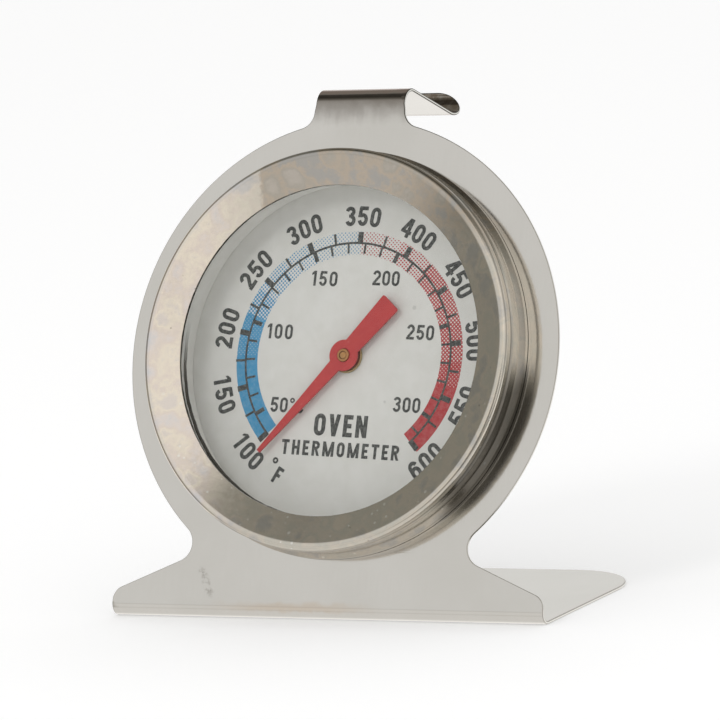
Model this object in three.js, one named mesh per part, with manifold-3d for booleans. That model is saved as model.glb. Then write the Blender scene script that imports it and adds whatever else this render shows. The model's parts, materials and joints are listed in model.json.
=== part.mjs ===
// Dial oven thermometer on a folded stainless stand with a rack hook.
//
// Every piece is drawn square to the dial: x runs to the right, y runs backwards along the pointer's
// axis from the front face of the stand, and z runs up the stand from the pointer's axis. The whole
// assembly is then leaned back until its foot lies flat on z = 0. Lengths are millimetres.

import * as THREE from 'three';
import { mergeVertices } from 'three/addons/utils/BufferGeometryUtils.js';
import Module from 'manifold-3d';

const wasm = await Module();
wasm.setup();

// ---------------------------------------------------------------- driving dimensions

// Stand: one sheet, folded at the foot and at the crest of the hook.
const SHEET = 0.4;
const LEAN_DEG = 18.5;
const DISC_R = 31;
const FOLD_BELOW_AXIS = 34.8;
const FOOT_LENGTH = 33.8;
const FOOT_HALF_WIDTH = 31.25;
const FOOT_REAR_CORNER_R = 10.6;
const FOOT_FOLD_R = 1.5;
const FOOT_END_HEIGHT = 3.6;
const SHOULDER_SLOPE_DEG = 22.75;
const SHOULDER_CORNER_R = 2;
const WAIST_FILLET_R = 2.5;
const NECK_HALF_WIDTH = 6.6;
const NECK_FILLET_R = 2.3;
const HOOK_HALF_WIDTH = 6.45;
const CREST_ABOVE_AXIS = 35.35;
const CREST_FOLD_R = 2.4;
const HOOK_TURN_DEG = 94.5;
const HOOK_RUN = 11;
const CURL_R = 3.6;
const CURL_TURN_DEG = 90;
const TONGUE_CORNER = { across: 4.2, up: 3.1 };

// Gaps between neighbouring pieces: pressed on the staff, clamped face to face, and free.
const PRESS_GAP = 0.03;
const CLAMP_GAP = 0.05;
const FREE_GAP = 0.1;

// Case: bezel in front of the stand, drawn cup through it and behind it.
const CASE_HOLE_R = 25.6;
const BARREL_R = 25.4;
const BARREL_WALL = 0.4;
const BARREL_FRONT = -3.3;
const BACK_DRUM_R = 22.8;
const BACK_DEPTH = 10.2;
const BACK_CORNER = 1.2;
const BACK_HOLE_R = 2.6;
const STOP_BEAD_R = 26.9;
const STOP_BEAD_WIDTH = 1;
const DIAL_SEAT = 2.1;
const VENT_COUNT = 6;
const VENT_CIRCLE_R = 16.5;
const VENT_R = 1.6;
const BEZEL_SHEET = 0.45;
const BEZEL_LIP_R = 21.6;
const BEZEL_LIP_FRONT = 4.15;
const BEZEL_CROWN_R = 25.45;
const BEZEL_CROWN_FRONT = 5.6;
const BEZEL_WALL_R = 26.2;
const BEZEL_SKIRT_R = 26.7;

// Window, spacer and dial.
const GLASS_R = 24.8;
const GLASS_FRONT = -3.6;
const GLASS_THICK = 1.4;
const GLASS_CHAMFER = 0.25;
const SPACER_BORE_R = 22.7;
const SPACER_WALL = 0.45;
const DIAL_FRONT = 1.6;
const DIAL_THICK = 0.4;
const DIAL_HOLE_R = 1.65;
const BUSH_FLANGE_R = 2.2;
const BUSH_FRONT = 1.2;
const BUSH_BACK = 2.9;
const BUSH_WASHER_R = 2.8;
const BUSH_WASHER_THICK = 0.35;

// Pointer and its shaft.
const POINTER_REST_DEG = 227.6;
const POINTER_FRONT = 0.42;
const POINTER_THICK = 0.3;
const POINTER_REACH = 17.1;
const POINTER_TAIL = 9.4;
const POINTER_HUB_R = 2.05;
const POINTER_TIP_HALF = 0.28;
const POINTER_ROOT_HALF = 0.92;
const POINTER_TAIL_ROOT_HALF = 1.2;
const POINTER_TAIL_END_HALF = 1.49;
const COLLET_R = 0.85;
const COLLET_PROUD = 0.18;
const COLLET_SHOULDER_R = 1.4;
const COLLET_BACK = 1.1;
const STAFF_R = 0.5;
const STAFF_FRONT = 0.28;
const STAFF_BACK = 8.95;
const STAFF_TIP = 0.12;
const STAFF_WASHER_R = 1.3;
const STAFF_WASHER_FRONT = 3;
const SHAFT_CLEARANCE = 0.06;

// Bimetal movement behind the dial.
const COIL_INNER_R = 2.35;
const COIL_OUTER_R = 11.4;
const COIL_TURNS = 5;
const COIL_STRIP = 0.35;
const COIL_FRONT = 3.9;
const COIL_WIDTH = 3;
const COIL_TAIL = 3.2;
const ANCHOR_GAP = 0.08;
const HUB_R = 1.75;
const HUB_FRONT = 3.3;
const HUB_BACK = 7.2;
const BRIDGE_FRONT = 7.9;
const BRIDGE_THICK = 0.6;
const BRIDGE_HALF_WIDTH = 3;
const BRIDGE_HALF_LENGTH = 16.5;
const BRIDGE_FOOT = 4.5;
const BRIDGE_CRANK = 1.5;
const BRIDGE_HOLE_R = 1.45;
const BRIDGE_BUSH_R = 2.2;
const BRIDGE_STAKE_R = 1.8;
const BRIDGE_BUSH_LIP = 0.35;
const BRIDGE_RIVET_R = 0.9;
const RIVET_HEAD_RATIO = 1.8;
const RIVET_HEAD_DEPTH_RATIO = 0.7;
const POST_THICK = 0.7;
const POST_SIDE = 0.2;
const POST_FOOT = 2.8;
const POST_RIVET_OUT = 1.75;
const PIN_R = 0.55;

const ROUND = 60;
const SMALL_ROUND = 24;
const FINE_ROUND = 18;
const BEND_STEP_DEG = 11;
const OVERCUT = 1.5;
const TONGUE_SLACK = 0.01;

// ---------------------------------------------------------------- materials

const finish = (color, roughness, metalness, more = {}) =>
  new THREE.MeshStandardMaterial({ color, roughness, metalness, ...more });

const stainless = finish(0xc8c6c1, 0.38, 1);
const bezelSteel = finish(0xb9b2a6, 0.22, 1);
const caseSteel = finish(0xb4b2ad, 0.35, 1);
const dialPaint = finish(0xc6c5c0, 0.5, 0.1);
const pointerRed = finish(0xbc5254, 0.45, 0.1);
const brass = finish(0xb08d4c, 0.3, 1);
const shaftSteel = finish(0x9fa0a2, 0.25, 1);
const bimetal = finish(0xa39a8c, 0.35, 1);
const glass = finish(0xf2f5f5, 0.05, 0, { transparent: true, opacity: 0.3 });

// ---------------------------------------------------------------- shape helpers

const rad = THREE.MathUtils.degToRad;
const point = (x, y) => new THREE.Vector2(x, y);
const polar = (r, deg) => point(r * Math.cos(rad(deg)), r * Math.sin(rad(deg)));

// Joins a geometry's shared vertices and drops the flat triangles at a turned piece's poles.
function closed(geometry) {
  geometry.deleteAttribute('normal');
  geometry.deleteAttribute('uv');
  const merged = mergeVertices(geometry, 1e-5);
  const index = merged.index.array;
  const kept = [];
  for (let i = 0; i < index.length; i += 3) {
    const [a, b, c] = index.slice(i, i + 3);
    if (a !== b && b !== c && c !== a) kept.push(a, b, c);
  }
  merged.setIndex(kept);
  return merged;
}

function toSolid(geometry) {
  const merged = closed(geometry);
  return new wasm.Manifold(new wasm.Mesh({
    numProp: 3,
    vertProperties: new Float32Array(merged.attributes.position.array),
    triVerts: new Uint32Array(merged.index.array),
  }));
}

function toGeometry(solid) {
  const mesh = solid.getMesh();
  const geometry = new THREE.BufferGeometry();
  geometry.setAttribute('position', new THREE.BufferAttribute(mesh.vertProperties, 3));
  geometry.setIndex(new THREE.BufferAttribute(mesh.triVerts, 1));
  geometry.computeVertexNormals();
  return geometry;
}

// Points along an arc about (x, z).
function arc(x, z, radius, fromDeg, toDeg, steps) {
  const degs = Array.from({ length: steps + 1 }, (_, i) => fromDeg + ((toDeg - fromDeg) * i) / steps);
  return degs.map((deg) => polar(radius, deg).add(point(x, z)));
}

// A flat outline in (x, z), as thick as the distance from y = front to y = back.
function plateOf(shape, front, back, curveSegments = 12) {
  const options = { depth: back - front, bevelEnabled: false, curveSegments };
  const geometry = new THREE.ExtrudeGeometry(shape, options);
  geometry.rotateX(Math.PI / 2);
  geometry.translate(0, back, 0);
  return geometry;
}

// A cross-section in (y, z), drawn out to halfWidth on both sides of x = 0.
function acrossWidth(shape, halfWidth) {
  const geometry = new THREE.ExtrudeGeometry(shape, { depth: 2 * halfWidth, bevelEnabled: false });
  const [right, back, up] = [[1, 0, 0], [0, 1, 0], [0, 0, 1]].map((axis) => new THREE.Vector3(...axis));
  geometry.applyMatrix4(new THREE.Matrix4().makeBasis(back, up, right));
  geometry.translate(-halfWidth, 0, 0);
  return geometry;
}

// A turned ring about the y axis. The profile is a closed loop of [radius, y] points, drawn so that
// the metal lies on its left.
function turned(loop, segments = ROUND) {
  const points = [...loop, loop[0]].map(([r, y]) => point(r, y));
  return new THREE.LatheGeometry(points, segments);
}

function ring(innerR, outerR, front, back, segments = SMALL_ROUND) {
  return turned([[innerR, front], [outerR, front], [outerR, back], [innerR, back]], segments);
}

function disc(radius, front, back, segments = SMALL_ROUND) {
  const geometry = new THREE.CylinderGeometry(radius, radius, back - front, segments);
  geometry.translate(0, (front + back) / 2, 0);
  return geometry;
}

// A hole's cutter through a sheet that lies within reach of y, centred on (at.x, at.y) in (x, z).
function drill(radius, y, at = point(0, 0), reach = 1, segments = FINE_ROUND) {
  return toSolid(disc(radius, y - reach, y + reach, segments).translate(at.x, 0, at.y));
}

function box(x, y, z) {
  const geometry = new THREE.BoxGeometry(x[1] - x[0], y[1] - y[0], z[1] - z[0]);
  geometry.translate((x[0] + x[1]) / 2, (y[0] + y[1]) / 2, (z[0] + z[1]) / 2);
  return geometry;
}

// ---------------------------------------------------------------- the folded stand

// Walks along the sheet's outer face in the (y, z) plane, with the metal on the right of the walk.
// Each step is a straight run or a turn about a radius, and a turn to the right is negative.
function foldedSheet(start, headingDeg, steps) {
  const outer = [];
  const inner = [];
  const place = start.clone();
  let heading = rad(headingDeg);
  const inward = () => point(Math.sin(heading), -Math.cos(heading));
  const mark = () => {
    outer.push(place.clone());
    inner.push(place.clone().addScaledVector(inward(), SHEET));
  };
  mark();
  for (const { run, turnDeg, radius } of steps) {
    if (run !== undefined) {
      place.add(point(Math.cos(heading), Math.sin(heading)).multiplyScalar(run));
      mark();
      continue;
    }
    const side = turnDeg < 0 ? 1 : -1;
    const centre = place.clone().addScaledVector(inward(), side * radius);
    const pieces = Math.ceil(Math.abs(turnDeg) / BEND_STEP_DEG);
    for (let i = 0; i < pieces; i++) {
      heading += rad(turnDeg / pieces);
      place.copy(centre).addScaledVector(inward(), -side * radius);
      mark();
    }
  }
  return new THREE.Shape([...outer, ...inner.reverse()]);
}

function standSection() {
  const footTurn = 90 + LEAN_DEG;
  const foldSetback = FOOT_FOLD_R * Math.tan(rad(footTurn / 2));
  const rearEdge = point(Math.cos(rad(LEAN_DEG)), Math.sin(rad(LEAN_DEG))).multiplyScalar(FOOT_LENGTH);
  rearEdge.y -= FOLD_BELOW_AXIS;
  return foldedSheet(rearEdge, 180 + LEAN_DEG, [
    { run: FOOT_LENGTH - foldSetback },
    { turnDeg: -footTurn, radius: FOOT_FOLD_R },
    { run: FOLD_BELOW_AXIS + CREST_ABOVE_AXIS - foldSetback - CREST_FOLD_R },
    { turnDeg: -HOOK_TURN_DEG, radius: CREST_FOLD_R },
    { run: HOOK_RUN },
    { turnDeg: CURL_TURN_DEG, radius: CURL_R },
  ]);
}

// Where the lower disc edge, the waist fillet and the sloping shoulder touch, on the right side.
function waistTouches() {
  const slope = rad(SHOULDER_SLOPE_DEG);
  const up = point(Math.sin(slope), Math.cos(slope));
  const along = point(Math.cos(slope), -Math.sin(slope));
  const end = point(FOOT_HALF_WIDTH, FOOT_END_HEIGHT - FOLD_BELOW_AXIS);
  const lineHeight = end.dot(up);
  const centreHeight = lineHeight + WAIST_FILLET_R;
  const reach = Math.sqrt((DISC_R + WAIST_FILLET_R) ** 2 - centreHeight ** 2);
  const centre = up.clone().multiplyScalar(centreHeight).addScaledVector(along, reach);
  const corner = point(FOOT_HALF_WIDTH - SHOULDER_CORNER_R, 0);
  corner.y = (lineHeight - SHOULDER_CORNER_R - corner.x * up.x) / up.y;
  return { up, centre, corner };
}

// The stand seen from the front: foot, shoulders, disc and neck, with the neck running past the crest.
function standOutline() {
  const { up, centre, corner } = waistTouches();
  const upDeg = THREE.MathUtils.radToDeg(Math.atan2(up.y, up.x));
  const discDeg = THREE.MathUtils.radToDeg(Math.atan2(centre.y, centre.x));
  const neckX = NECK_HALF_WIDTH + NECK_FILLET_R;
  const neckZ = Math.sqrt((DISC_R + NECK_FILLET_R) ** 2 - neckX ** 2);
  const neckDeg = THREE.MathUtils.radToDeg(Math.atan2(neckZ, neckX));
  const below = -FOLD_BELOW_AXIS - OVERCUT;
  const above = CREST_ABOVE_AXIS + OVERCUT;
  const right = [
    point(FOOT_HALF_WIDTH, below),
    ...arc(corner.x, corner.y, SHOULDER_CORNER_R, 0, upDeg, 5),
    ...arc(centre.x, centre.y, WAIST_FILLET_R, upDeg + 180, discDeg + 180, 10).slice(0, -1),
    ...arc(0, 0, DISC_R, discDeg, neckDeg, 40),
    ...arc(neckX, neckZ, NECK_FILLET_R, neckDeg + 180, 180, 6).slice(1),
    point(HOOK_HALF_WIDTH, CREST_ABOVE_AXIS - CREST_FOLD_R),
    point(HOOK_HALF_WIDTH, above),
  ];
  const left = right.map((p) => point(-p.x, p.y)).reverse();
  return new THREE.Shape([...right, ...left]);
}

// The foot seen square to its own face, from the fold to the rounded rear corners.
function footPlan() {
  const r = FOOT_REAR_CORNER_R;
  const plan = new THREE.Shape();
  plan.moveTo(-FOOT_HALF_WIDTH, FOOT_FOLD_R);
  plan.lineTo(FOOT_HALF_WIDTH, FOOT_FOLD_R);
  plan.lineTo(FOOT_HALF_WIDTH, FOOT_LENGTH - r);
  plan.absarc(FOOT_HALF_WIDTH - r, FOOT_LENGTH - r, r, 0, Math.PI / 2);
  plan.lineTo(r - FOOT_HALF_WIDTH, FOOT_LENGTH);
  plan.absarc(r - FOOT_HALF_WIDTH, FOOT_LENGTH - r, r, Math.PI / 2, Math.PI);
  plan.closePath();
  return plan;
}

// The upturned tongue seen from behind, with its two rounded top corners.
function tongueOutline(top) {
  const w = HOOK_HALF_WIDTH;
  const { across, up } = TONGUE_CORNER;
  const outline = new THREE.Shape();
  outline.moveTo(-w, DISC_R - CURL_R);
  outline.lineTo(w, DISC_R - CURL_R);
  outline.lineTo(w, top - up);
  outline.absellipse(w - across, top - up, across, up, 0, Math.PI / 2);
  outline.absellipse(across - w, top - up, across, up, Math.PI / 2, Math.PI);
  outline.closePath();
  return outline;
}

function stand() {
  const section = standSection();
  const sheet = toSolid(acrossWidth(section, FOOT_HALF_WIDTH + OVERCUT));
  const tongueTop = Math.max(...section.getPoints().map((p) => p.y)) + TONGUE_SLACK;
  const curlStart = CREST_FOLD_R + HOOK_RUN;

  const front = plateOf(standOutline(), -OVERCUT, CREST_FOLD_R + OVERCUT);
  const footOptions = { depth: 2 * OVERCUT, bevelEnabled: false, curveSegments: 10 };
  const foot = new THREE.ExtrudeGeometry(footPlan(), footOptions);
  foot.translate(0, 0, -OVERCUT);
  foot.rotateX(rad(LEAN_DEG));
  foot.translate(0, 0, -FOLD_BELOW_AXIS);
  const hookWidth = [-HOOK_HALF_WIDTH, HOOK_HALF_WIDTH];
  const hook = box(hookWidth, [CREST_FOLD_R, curlStart], [DISC_R, CREST_ABOVE_AXIS + OVERCUT]);
  const tongue = plateOf(tongueOutline(tongueTop), curlStart - OVERCUT, curlStart + CURL_R + OVERCUT, 8);

  const blank = [front, foot, hook, tongue].map(toSolid).reduce((whole, piece) => whole.add(piece));
  return toGeometry(sheet.intersect(blank).subtract(drill(CASE_HOLE_R, 0, point(0, 0), OVERCUT, ROUND)));
}

// ---------------------------------------------------------------- case, window and dial

// Drawn cup: barrel through the stand, a bead that stops against the stand's rear face, a step that
// seats the dial, and a vented back.
function rearCase() {
  const wall = BARREL_WALL;
  const beadFront = SHEET + FREE_GAP;
  const beadBack = beadFront + STOP_BEAD_WIDTH;
  const stepBack = DIAL_SEAT + wall;
  const cornerR = BACK_DRUM_R - BACK_CORNER;
  const cornerY = BACK_DEPTH - BACK_CORNER;
  const rounded = arc(cornerR, cornerY, BACK_CORNER, 0, 90, 2).map((p) => [p.x, p.y]);
  const shell = toSolid(turned([
    [BARREL_R - wall, BARREL_FRONT],
    [BARREL_R, BARREL_FRONT],
    [BARREL_R, beadFront],
    [STOP_BEAD_R, beadFront],
    [STOP_BEAD_R, beadBack],
    [BARREL_R, beadBack],
    [BARREL_R, stepBack],
    [BACK_DRUM_R, stepBack],
    ...rounded,
    [BACK_HOLE_R, BACK_DEPTH],
    [BACK_HOLE_R, BACK_DEPTH - wall],
    [cornerR, BACK_DEPTH - wall],
    [BACK_DRUM_R - wall, cornerY],
    [BACK_DRUM_R - wall, DIAL_SEAT],
    [BARREL_R - wall, DIAL_SEAT],
  ]));
  const vents = Array.from({ length: VENT_COUNT }, (_, i) => (360 * (i + 0.5)) / VENT_COUNT).map(
    (deg) => drill(VENT_R, BACK_DEPTH, polar(VENT_CIRCLE_R, deg)));
  const rivetHoles = bridgeRivetPlaces().map(
    (at) => drill(BRIDGE_RIVET_R + CLAMP_GAP, BACK_DEPTH, at));
  return toGeometry([...vents, ...rivetHoles].reduce((solid, cut) => solid.subtract(cut), shell));
}

// Pressed bezel: a dished front face with a sharp inner lip, a rounded shoulder and a flared skirt
// that stands on the stand's front face.
function bezelRing() {
  const t = BEZEL_SHEET;
  const shoulder = BEZEL_WALL_R - BEZEL_CROWN_R;
  const wallTop = BEZEL_CROWN_FRONT - shoulder;
  const shoulderArc = (offset) =>
    arc(BEZEL_CROWN_R, wallTop, shoulder - offset, 0, 90, 4).map((p) => [p.x, -p.y]);
  return turned([
    [BEZEL_LIP_R, t - BEZEL_LIP_FRONT],
    [BEZEL_LIP_R, -BEZEL_LIP_FRONT],
    ...shoulderArc(0).reverse(),
    [BEZEL_SKIRT_R, -FREE_GAP],
    [BEZEL_SKIRT_R - t, -FREE_GAP],
    ...shoulderArc(t),
  ]);
}

function lensGlass() {
  const c = GLASS_CHAMFER;
  const back = GLASS_FRONT + GLASS_THICK;
  const rim = disc(GLASS_R, GLASS_FRONT + c, back - c, ROUND);
  const faces = disc(GLASS_R - c, GLASS_FRONT, back, ROUND);
  return toGeometry(toSolid(rim).add(toSolid(faces)));
}

// Flanged tube that holds the glass off the dial.
function dialSpacer() {
  const front = GLASS_FRONT + GLASS_THICK + FREE_GAP;
  const back = DIAL_FRONT - CLAMP_GAP;
  return turned([
    [SPACER_BORE_R, front],
    [GLASS_R, front],
    [GLASS_R, front + SPACER_WALL],
    [SPACER_BORE_R + SPACER_WALL, front + SPACER_WALL],
    [SPACER_BORE_R + SPACER_WALL, back],
    [SPACER_BORE_R, back],
  ]);
}

// Brass bush through the dial, with its flange in front.
function dialBushing() {
  const bore = STAFF_R + SHAFT_CLEARANCE;
  const barrel = DIAL_HOLE_R - FREE_GAP;
  const flangeBack = DIAL_FRONT - CLAMP_GAP;
  return turned([
    [bore, BUSH_FRONT],
    [BUSH_FLANGE_R, BUSH_FRONT],
    [BUSH_FLANGE_R, flangeBack],
    [barrel, flangeBack],
    [barrel, BUSH_BACK],
    [bore, BUSH_BACK],
  ], SMALL_ROUND);
}

function bushingWasher() {
  const front = DIAL_FRONT + DIAL_THICK + CLAMP_GAP;
  return ring(DIAL_HOLE_R, BUSH_WASHER_R, front, front + BUSH_WASHER_THICK);
}

// ---------------------------------------------------------------- pointer and shaft

function pointerBlade() {
  const hubTurn = (half) => THREE.MathUtils.radToDeg(Math.asin(half / POINTER_HUB_R));
  const root = hubTurn(POINTER_ROOT_HALF);
  const tail = hubTurn(POINTER_TAIL_ROOT_HALF);
  const blade = new THREE.Shape([
    point(POINTER_REACH, -POINTER_TIP_HALF),
    point(POINTER_REACH, POINTER_TIP_HALF),
    ...arc(0, 0, POINTER_HUB_R, root, 180 - tail, 8),
    point(-POINTER_TAIL, POINTER_TAIL_END_HALF),
    point(-POINTER_TAIL, -POINTER_TAIL_END_HALF),
    ...arc(0, 0, POINTER_HUB_R, 180 + tail, 360 - root, 8),
  ]);
  const hole = new THREE.Path();
  hole.absarc(0, 0, COLLET_R + PRESS_GAP, 0, 2 * Math.PI, true);
  blade.holes.push(hole);
  const geometry = plateOf(blade, POINTER_FRONT, POINTER_FRONT + POINTER_THICK, 16);
  geometry.rotateY(-rad(POINTER_REST_DEG));
  return geometry;
}

// Brass collet: a tube through the pointer with a shoulder behind it.
function pointerCollet() {
  const bore = STAFF_R + PRESS_GAP;
  const front = POINTER_FRONT - COLLET_PROUD;
  const shoulderFront = POINTER_FRONT + POINTER_THICK + PRESS_GAP;
  return turned([
    [bore, front],
    [COLLET_R, front],
    [COLLET_R, shoulderFront],
    [COLLET_SHOULDER_R, shoulderFront],
    [COLLET_SHOULDER_R, COLLET_BACK],
    [bore, COLLET_BACK],
  ], FINE_ROUND);
}

function pointerStaff() {
  const body = toSolid(disc(STAFF_R, STAFF_FRONT + STAFF_TIP, STAFF_BACK - STAFF_TIP, FINE_ROUND));
  const ends = toSolid(disc(STAFF_R - STAFF_TIP, STAFF_FRONT, STAFF_BACK, FINE_ROUND));
  return toGeometry(body.add(ends));
}

// ---------------------------------------------------------------- bimetal movement

const coilEndDeg = (360 * COIL_TURNS) % 360;
const tailAt = (distance) => polar(distance, coilEndDeg + 90);
const postNear = COIL_OUTER_R + COIL_STRIP / 2 + ANCHOR_GAP;
const postBack = BRIDGE_FRONT - FREE_GAP;
const postFootFront = postBack - POST_THICK;
const bridgeFootFront = BACK_DEPTH - BARREL_WALL - FREE_GAP - BRIDGE_THICK;
const postRivetAt = point(postNear + POST_RIVET_OUT, (POST_SIDE + COIL_TAIL) / 2);

// Flat spiral of bimetal strip on edge, with a straight tail to its anchor.
function bimetalCoil() {
  const pitch = (COIL_OUTER_R - COIL_INNER_R) / COIL_TURNS;
  const steps = COIL_TURNS * 20;
  const outside = [];
  const inside = [];
  for (let i = 0; i <= steps; i++) {
    const turn = (COIL_TURNS * i) / steps;
    const r = COIL_INNER_R + pitch * turn;
    outside.push(polar(r + COIL_STRIP / 2, 360 * turn));
    inside.push(polar(r - COIL_STRIP / 2, 360 * turn));
  }
  outside.push(outside.at(-1).clone().add(tailAt(COIL_TAIL)));
  inside.push(inside.at(-1).clone().add(tailAt(COIL_TAIL)));
  const spiral = new THREE.Shape([...inside, ...outside.reverse()]);
  const strip = plateOf(spiral, COIL_FRONT, COIL_FRONT + COIL_WIDTH);
  return toGeometry(toSolid(strip).subtract(toSolid(anchorHole())));
}

// Lays a turned piece along the coil's radius, through the middle of its tail.
function acrossTail(geometry) {
  const middle = tailAt((POST_SIDE + COIL_TAIL) / 2);
  geometry.rotateZ(-Math.PI / 2);
  geometry.translate(0, COIL_FRONT + COIL_WIDTH / 2, 0);
  geometry.rotateY(-rad(coilEndDeg));
  geometry.translate(middle.x, 0, middle.y);
  return geometry;
}

function anchorHole() {
  const near = COIL_OUTER_R - OVERCUT;
  const far = postNear + OVERCUT;
  return acrossTail(disc(PIN_R + CLAMP_GAP, near, far, FINE_ROUND));
}

// A rivet about the y axis: a low flat head in front, a shank, and a domed head behind.
function rivet(shankR, gripFront, gripBack) {
  const headR = RIVET_HEAD_RATIO * shankR;
  const headDepth = RIVET_HEAD_DEPTH_RATIO * shankR;
  const headFront = gripFront - headDepth;
  const dome = arc(0, 0, 1, 0, 60, 2).map((p) => point(headR * p.x, gripBack + headDepth * p.y));
  const profile = [
    point(0, headFront),
    point(headR, headFront),
    point(headR, gripFront),
    point(shankR, gripFront),
    point(shankR, gripBack),
    ...dome,
    point(0, gripBack + headDepth),
  ];
  return new THREE.LatheGeometry(profile, FINE_ROUND);
}

// Upright tab beside the coil's tail, with a foot on the bridge.
function coilAnchorPost() {
  const side = [POST_SIDE, COIL_TAIL - POST_SIDE];
  const tab = box([postNear, postNear + POST_THICK], [COIL_FRONT - POST_SIDE, postBack], side);
  const foot = box([postNear, postNear + POST_FOOT], [postFootFront, postBack], side);
  const rivetHole = drill(PIN_R + CLAMP_GAP, postBack, postRivetAt);
  const body = toSolid(tab).add(toSolid(foot)).subtract(rivetHole);
  return toGeometry(body.subtract(toSolid(anchorHole())));
}

// Strap across the back of the movement, cranked down to two riveted feet on the case's back.
function bearingBridge() {
  const t = BRIDGE_THICK;
  const top = BRIDGE_FRONT;
  const reach = BRIDGE_HALF_LENGTH;
  const end = reach + BRIDGE_FOOT;
  const half = [
    [0, top],
    [reach - BRIDGE_CRANK, top],
    [reach, bridgeFootFront],
    [end, bridgeFootFront],
    [end, bridgeFootFront + t],
    [reach - t / 2, bridgeFootFront + t],
    [reach - t / 2 - BRIDGE_CRANK, top + t],
    [0, top + t],
  ];
  const right = half.map(([x, y]) => point(x, y));
  const left = half.slice(1, -1).reverse().map(([x, y]) => point(-x, y));
  const section = new THREE.Shape([...right, ...left]);
  const options = { depth: 2 * BRIDGE_HALF_WIDTH, bevelEnabled: false };
  const strap = new THREE.ExtrudeGeometry(section, options);
  strap.translate(0, 0, -BRIDGE_HALF_WIDTH);
  const holes = [
    drill(BRIDGE_HOLE_R, top, point(0, 0), 1, SMALL_ROUND),
    drill(PIN_R + CLAMP_GAP, top, postRivetAt),
    ...bridgeRivetPlaces().map((at) => drill(BRIDGE_RIVET_R + CLAMP_GAP, bridgeFootFront, at)),
  ];
  return toGeometry(holes.reduce((solid, hole) => solid.subtract(hole), toSolid(strap)));
}

function bridgeRivetPlaces() {
  const x = BRIDGE_HALF_LENGTH + BRIDGE_FOOT / 2;
  return [point(-x, 0), point(x, 0)];
}

// Brass bearing staked into the bridge behind the coil.
function pivotBush() {
  const bore = STAFF_R + SHAFT_CLEARANCE;
  const barrel = BRIDGE_HOLE_R - CLAMP_GAP;
  const front = BRIDGE_FRONT - CLAMP_GAP;
  const back = BRIDGE_FRONT + BRIDGE_THICK + CLAMP_GAP;
  return turned([
    [bore, front - BRIDGE_BUSH_LIP],
    [BRIDGE_BUSH_R, front - BRIDGE_BUSH_LIP],
    [BRIDGE_BUSH_R, front],
    [barrel, front],
    [barrel, back],
    [BRIDGE_STAKE_R, back],
    [BRIDGE_STAKE_R, back + BRIDGE_BUSH_LIP],
    [bore, back + BRIDGE_BUSH_LIP],
  ], SMALL_ROUND);
}

function coilAnchorRivet() {
  const gripFront = COIL_OUTER_R - COIL_STRIP / 2 - CLAMP_GAP;
  return acrossTail(rivet(PIN_R, gripFront, postNear + POST_THICK + CLAMP_GAP));
}

function postRivet() {
  const geometry = rivet(PIN_R, postFootFront - CLAMP_GAP, BRIDGE_FRONT + BRIDGE_THICK + CLAMP_GAP);
  return geometry.translate(postRivetAt.x, 0, postRivetAt.y);
}

function bridgeRivet(at) {
  const geometry = rivet(BRIDGE_RIVET_R, bridgeFootFront - CLAMP_GAP, BACK_DEPTH + CLAMP_GAP);
  return geometry.translate(at.x, 0, at.y);
}

// ---------------------------------------------------------------- assembly

const thermometer = new THREE.Group();
const dialFrame = new THREE.Group();
thermometer.add(dialFrame);

function add(name, geometry, material) {
  const mesh = new THREE.Mesh(geometry, material);
  mesh.name = name;
  dialFrame.add(mesh);
}

const dial = ring(DIAL_HOLE_R, GLASS_R, DIAL_FRONT, DIAL_FRONT + DIAL_THICK, ROUND);
const staffWasher = ring(
  STAFF_R + PRESS_GAP, STAFF_WASHER_R, STAFF_WASHER_FRONT, HUB_FRONT - FREE_GAP, FINE_ROUND);
const coilHub = ring(STAFF_R + PRESS_GAP, HUB_R, HUB_FRONT, HUB_BACK);
const [leftRivet, rightRivet] = bridgeRivetPlaces().map(bridgeRivet);

add('stand_plate', stand(), stainless);
add('rear_case', rearCase(), caseSteel);
add('bezel_ring', bezelRing(), bezelSteel);
add('lens_glass', lensGlass(), glass);
add('dial_spacer_ring', dialSpacer(), caseSteel);
add('dial_plate', dial, dialPaint);
add('dial_bushing', dialBushing(), brass);
add('bushing_washer', bushingWasher(), brass);

add('pointer', pointerBlade(), pointerRed);
add('pointer_collet', pointerCollet(), brass);
add('pointer_staff', pointerStaff(), shaftSteel);
add('staff_washer', staffWasher, brass);
add('coil_hub', coilHub, brass);

add('bimetal_coil', bimetalCoil(), bimetal);
add('coil_anchor_post', coilAnchorPost(), caseSteel);
add('coil_anchor_rivet', coilAnchorRivet(), brass);
add('post_rivet', postRivet(), brass);
add('bearing_bridge', bearingBridge(), caseSteel);
add('pivot_bush', pivotBush(), brass);
add('bridge_rivet_left', leftRivet, caseSteel);
add('bridge_rivet_right', rightRivet, caseSteel);

// Lean the assembly back and stand it with the middle of its foot at the origin.
dialFrame.rotation.x = -rad(LEAN_DEG);
dialFrame.position.y = FOLD_BELOW_AXIS * Math.sin(rad(LEAN_DEG)) - FOOT_LENGTH / 2;
dialFrame.position.z = FOLD_BELOW_AXIS * Math.cos(rad(LEAN_DEG));

export default thermometer;
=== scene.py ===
"""Looks of a dial oven thermometer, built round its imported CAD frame.

Every new piece is drawn in the plate frame, in millimetres: x runs to the right, y runs backwards along
the pointer's axis from the stand's front face, and z runs up the stand. PLATE turns that frame into the
row frame, in metres. Angles on the dial run counter-clockwise from +x, seen from the front.
"""

import json
import math
from collections import namedtuple

import bmesh
import bpy
from mathutils import Matrix, Vector
from mathutils.geometry import delaunay_2d_cdt, tessellate_polygon

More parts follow.
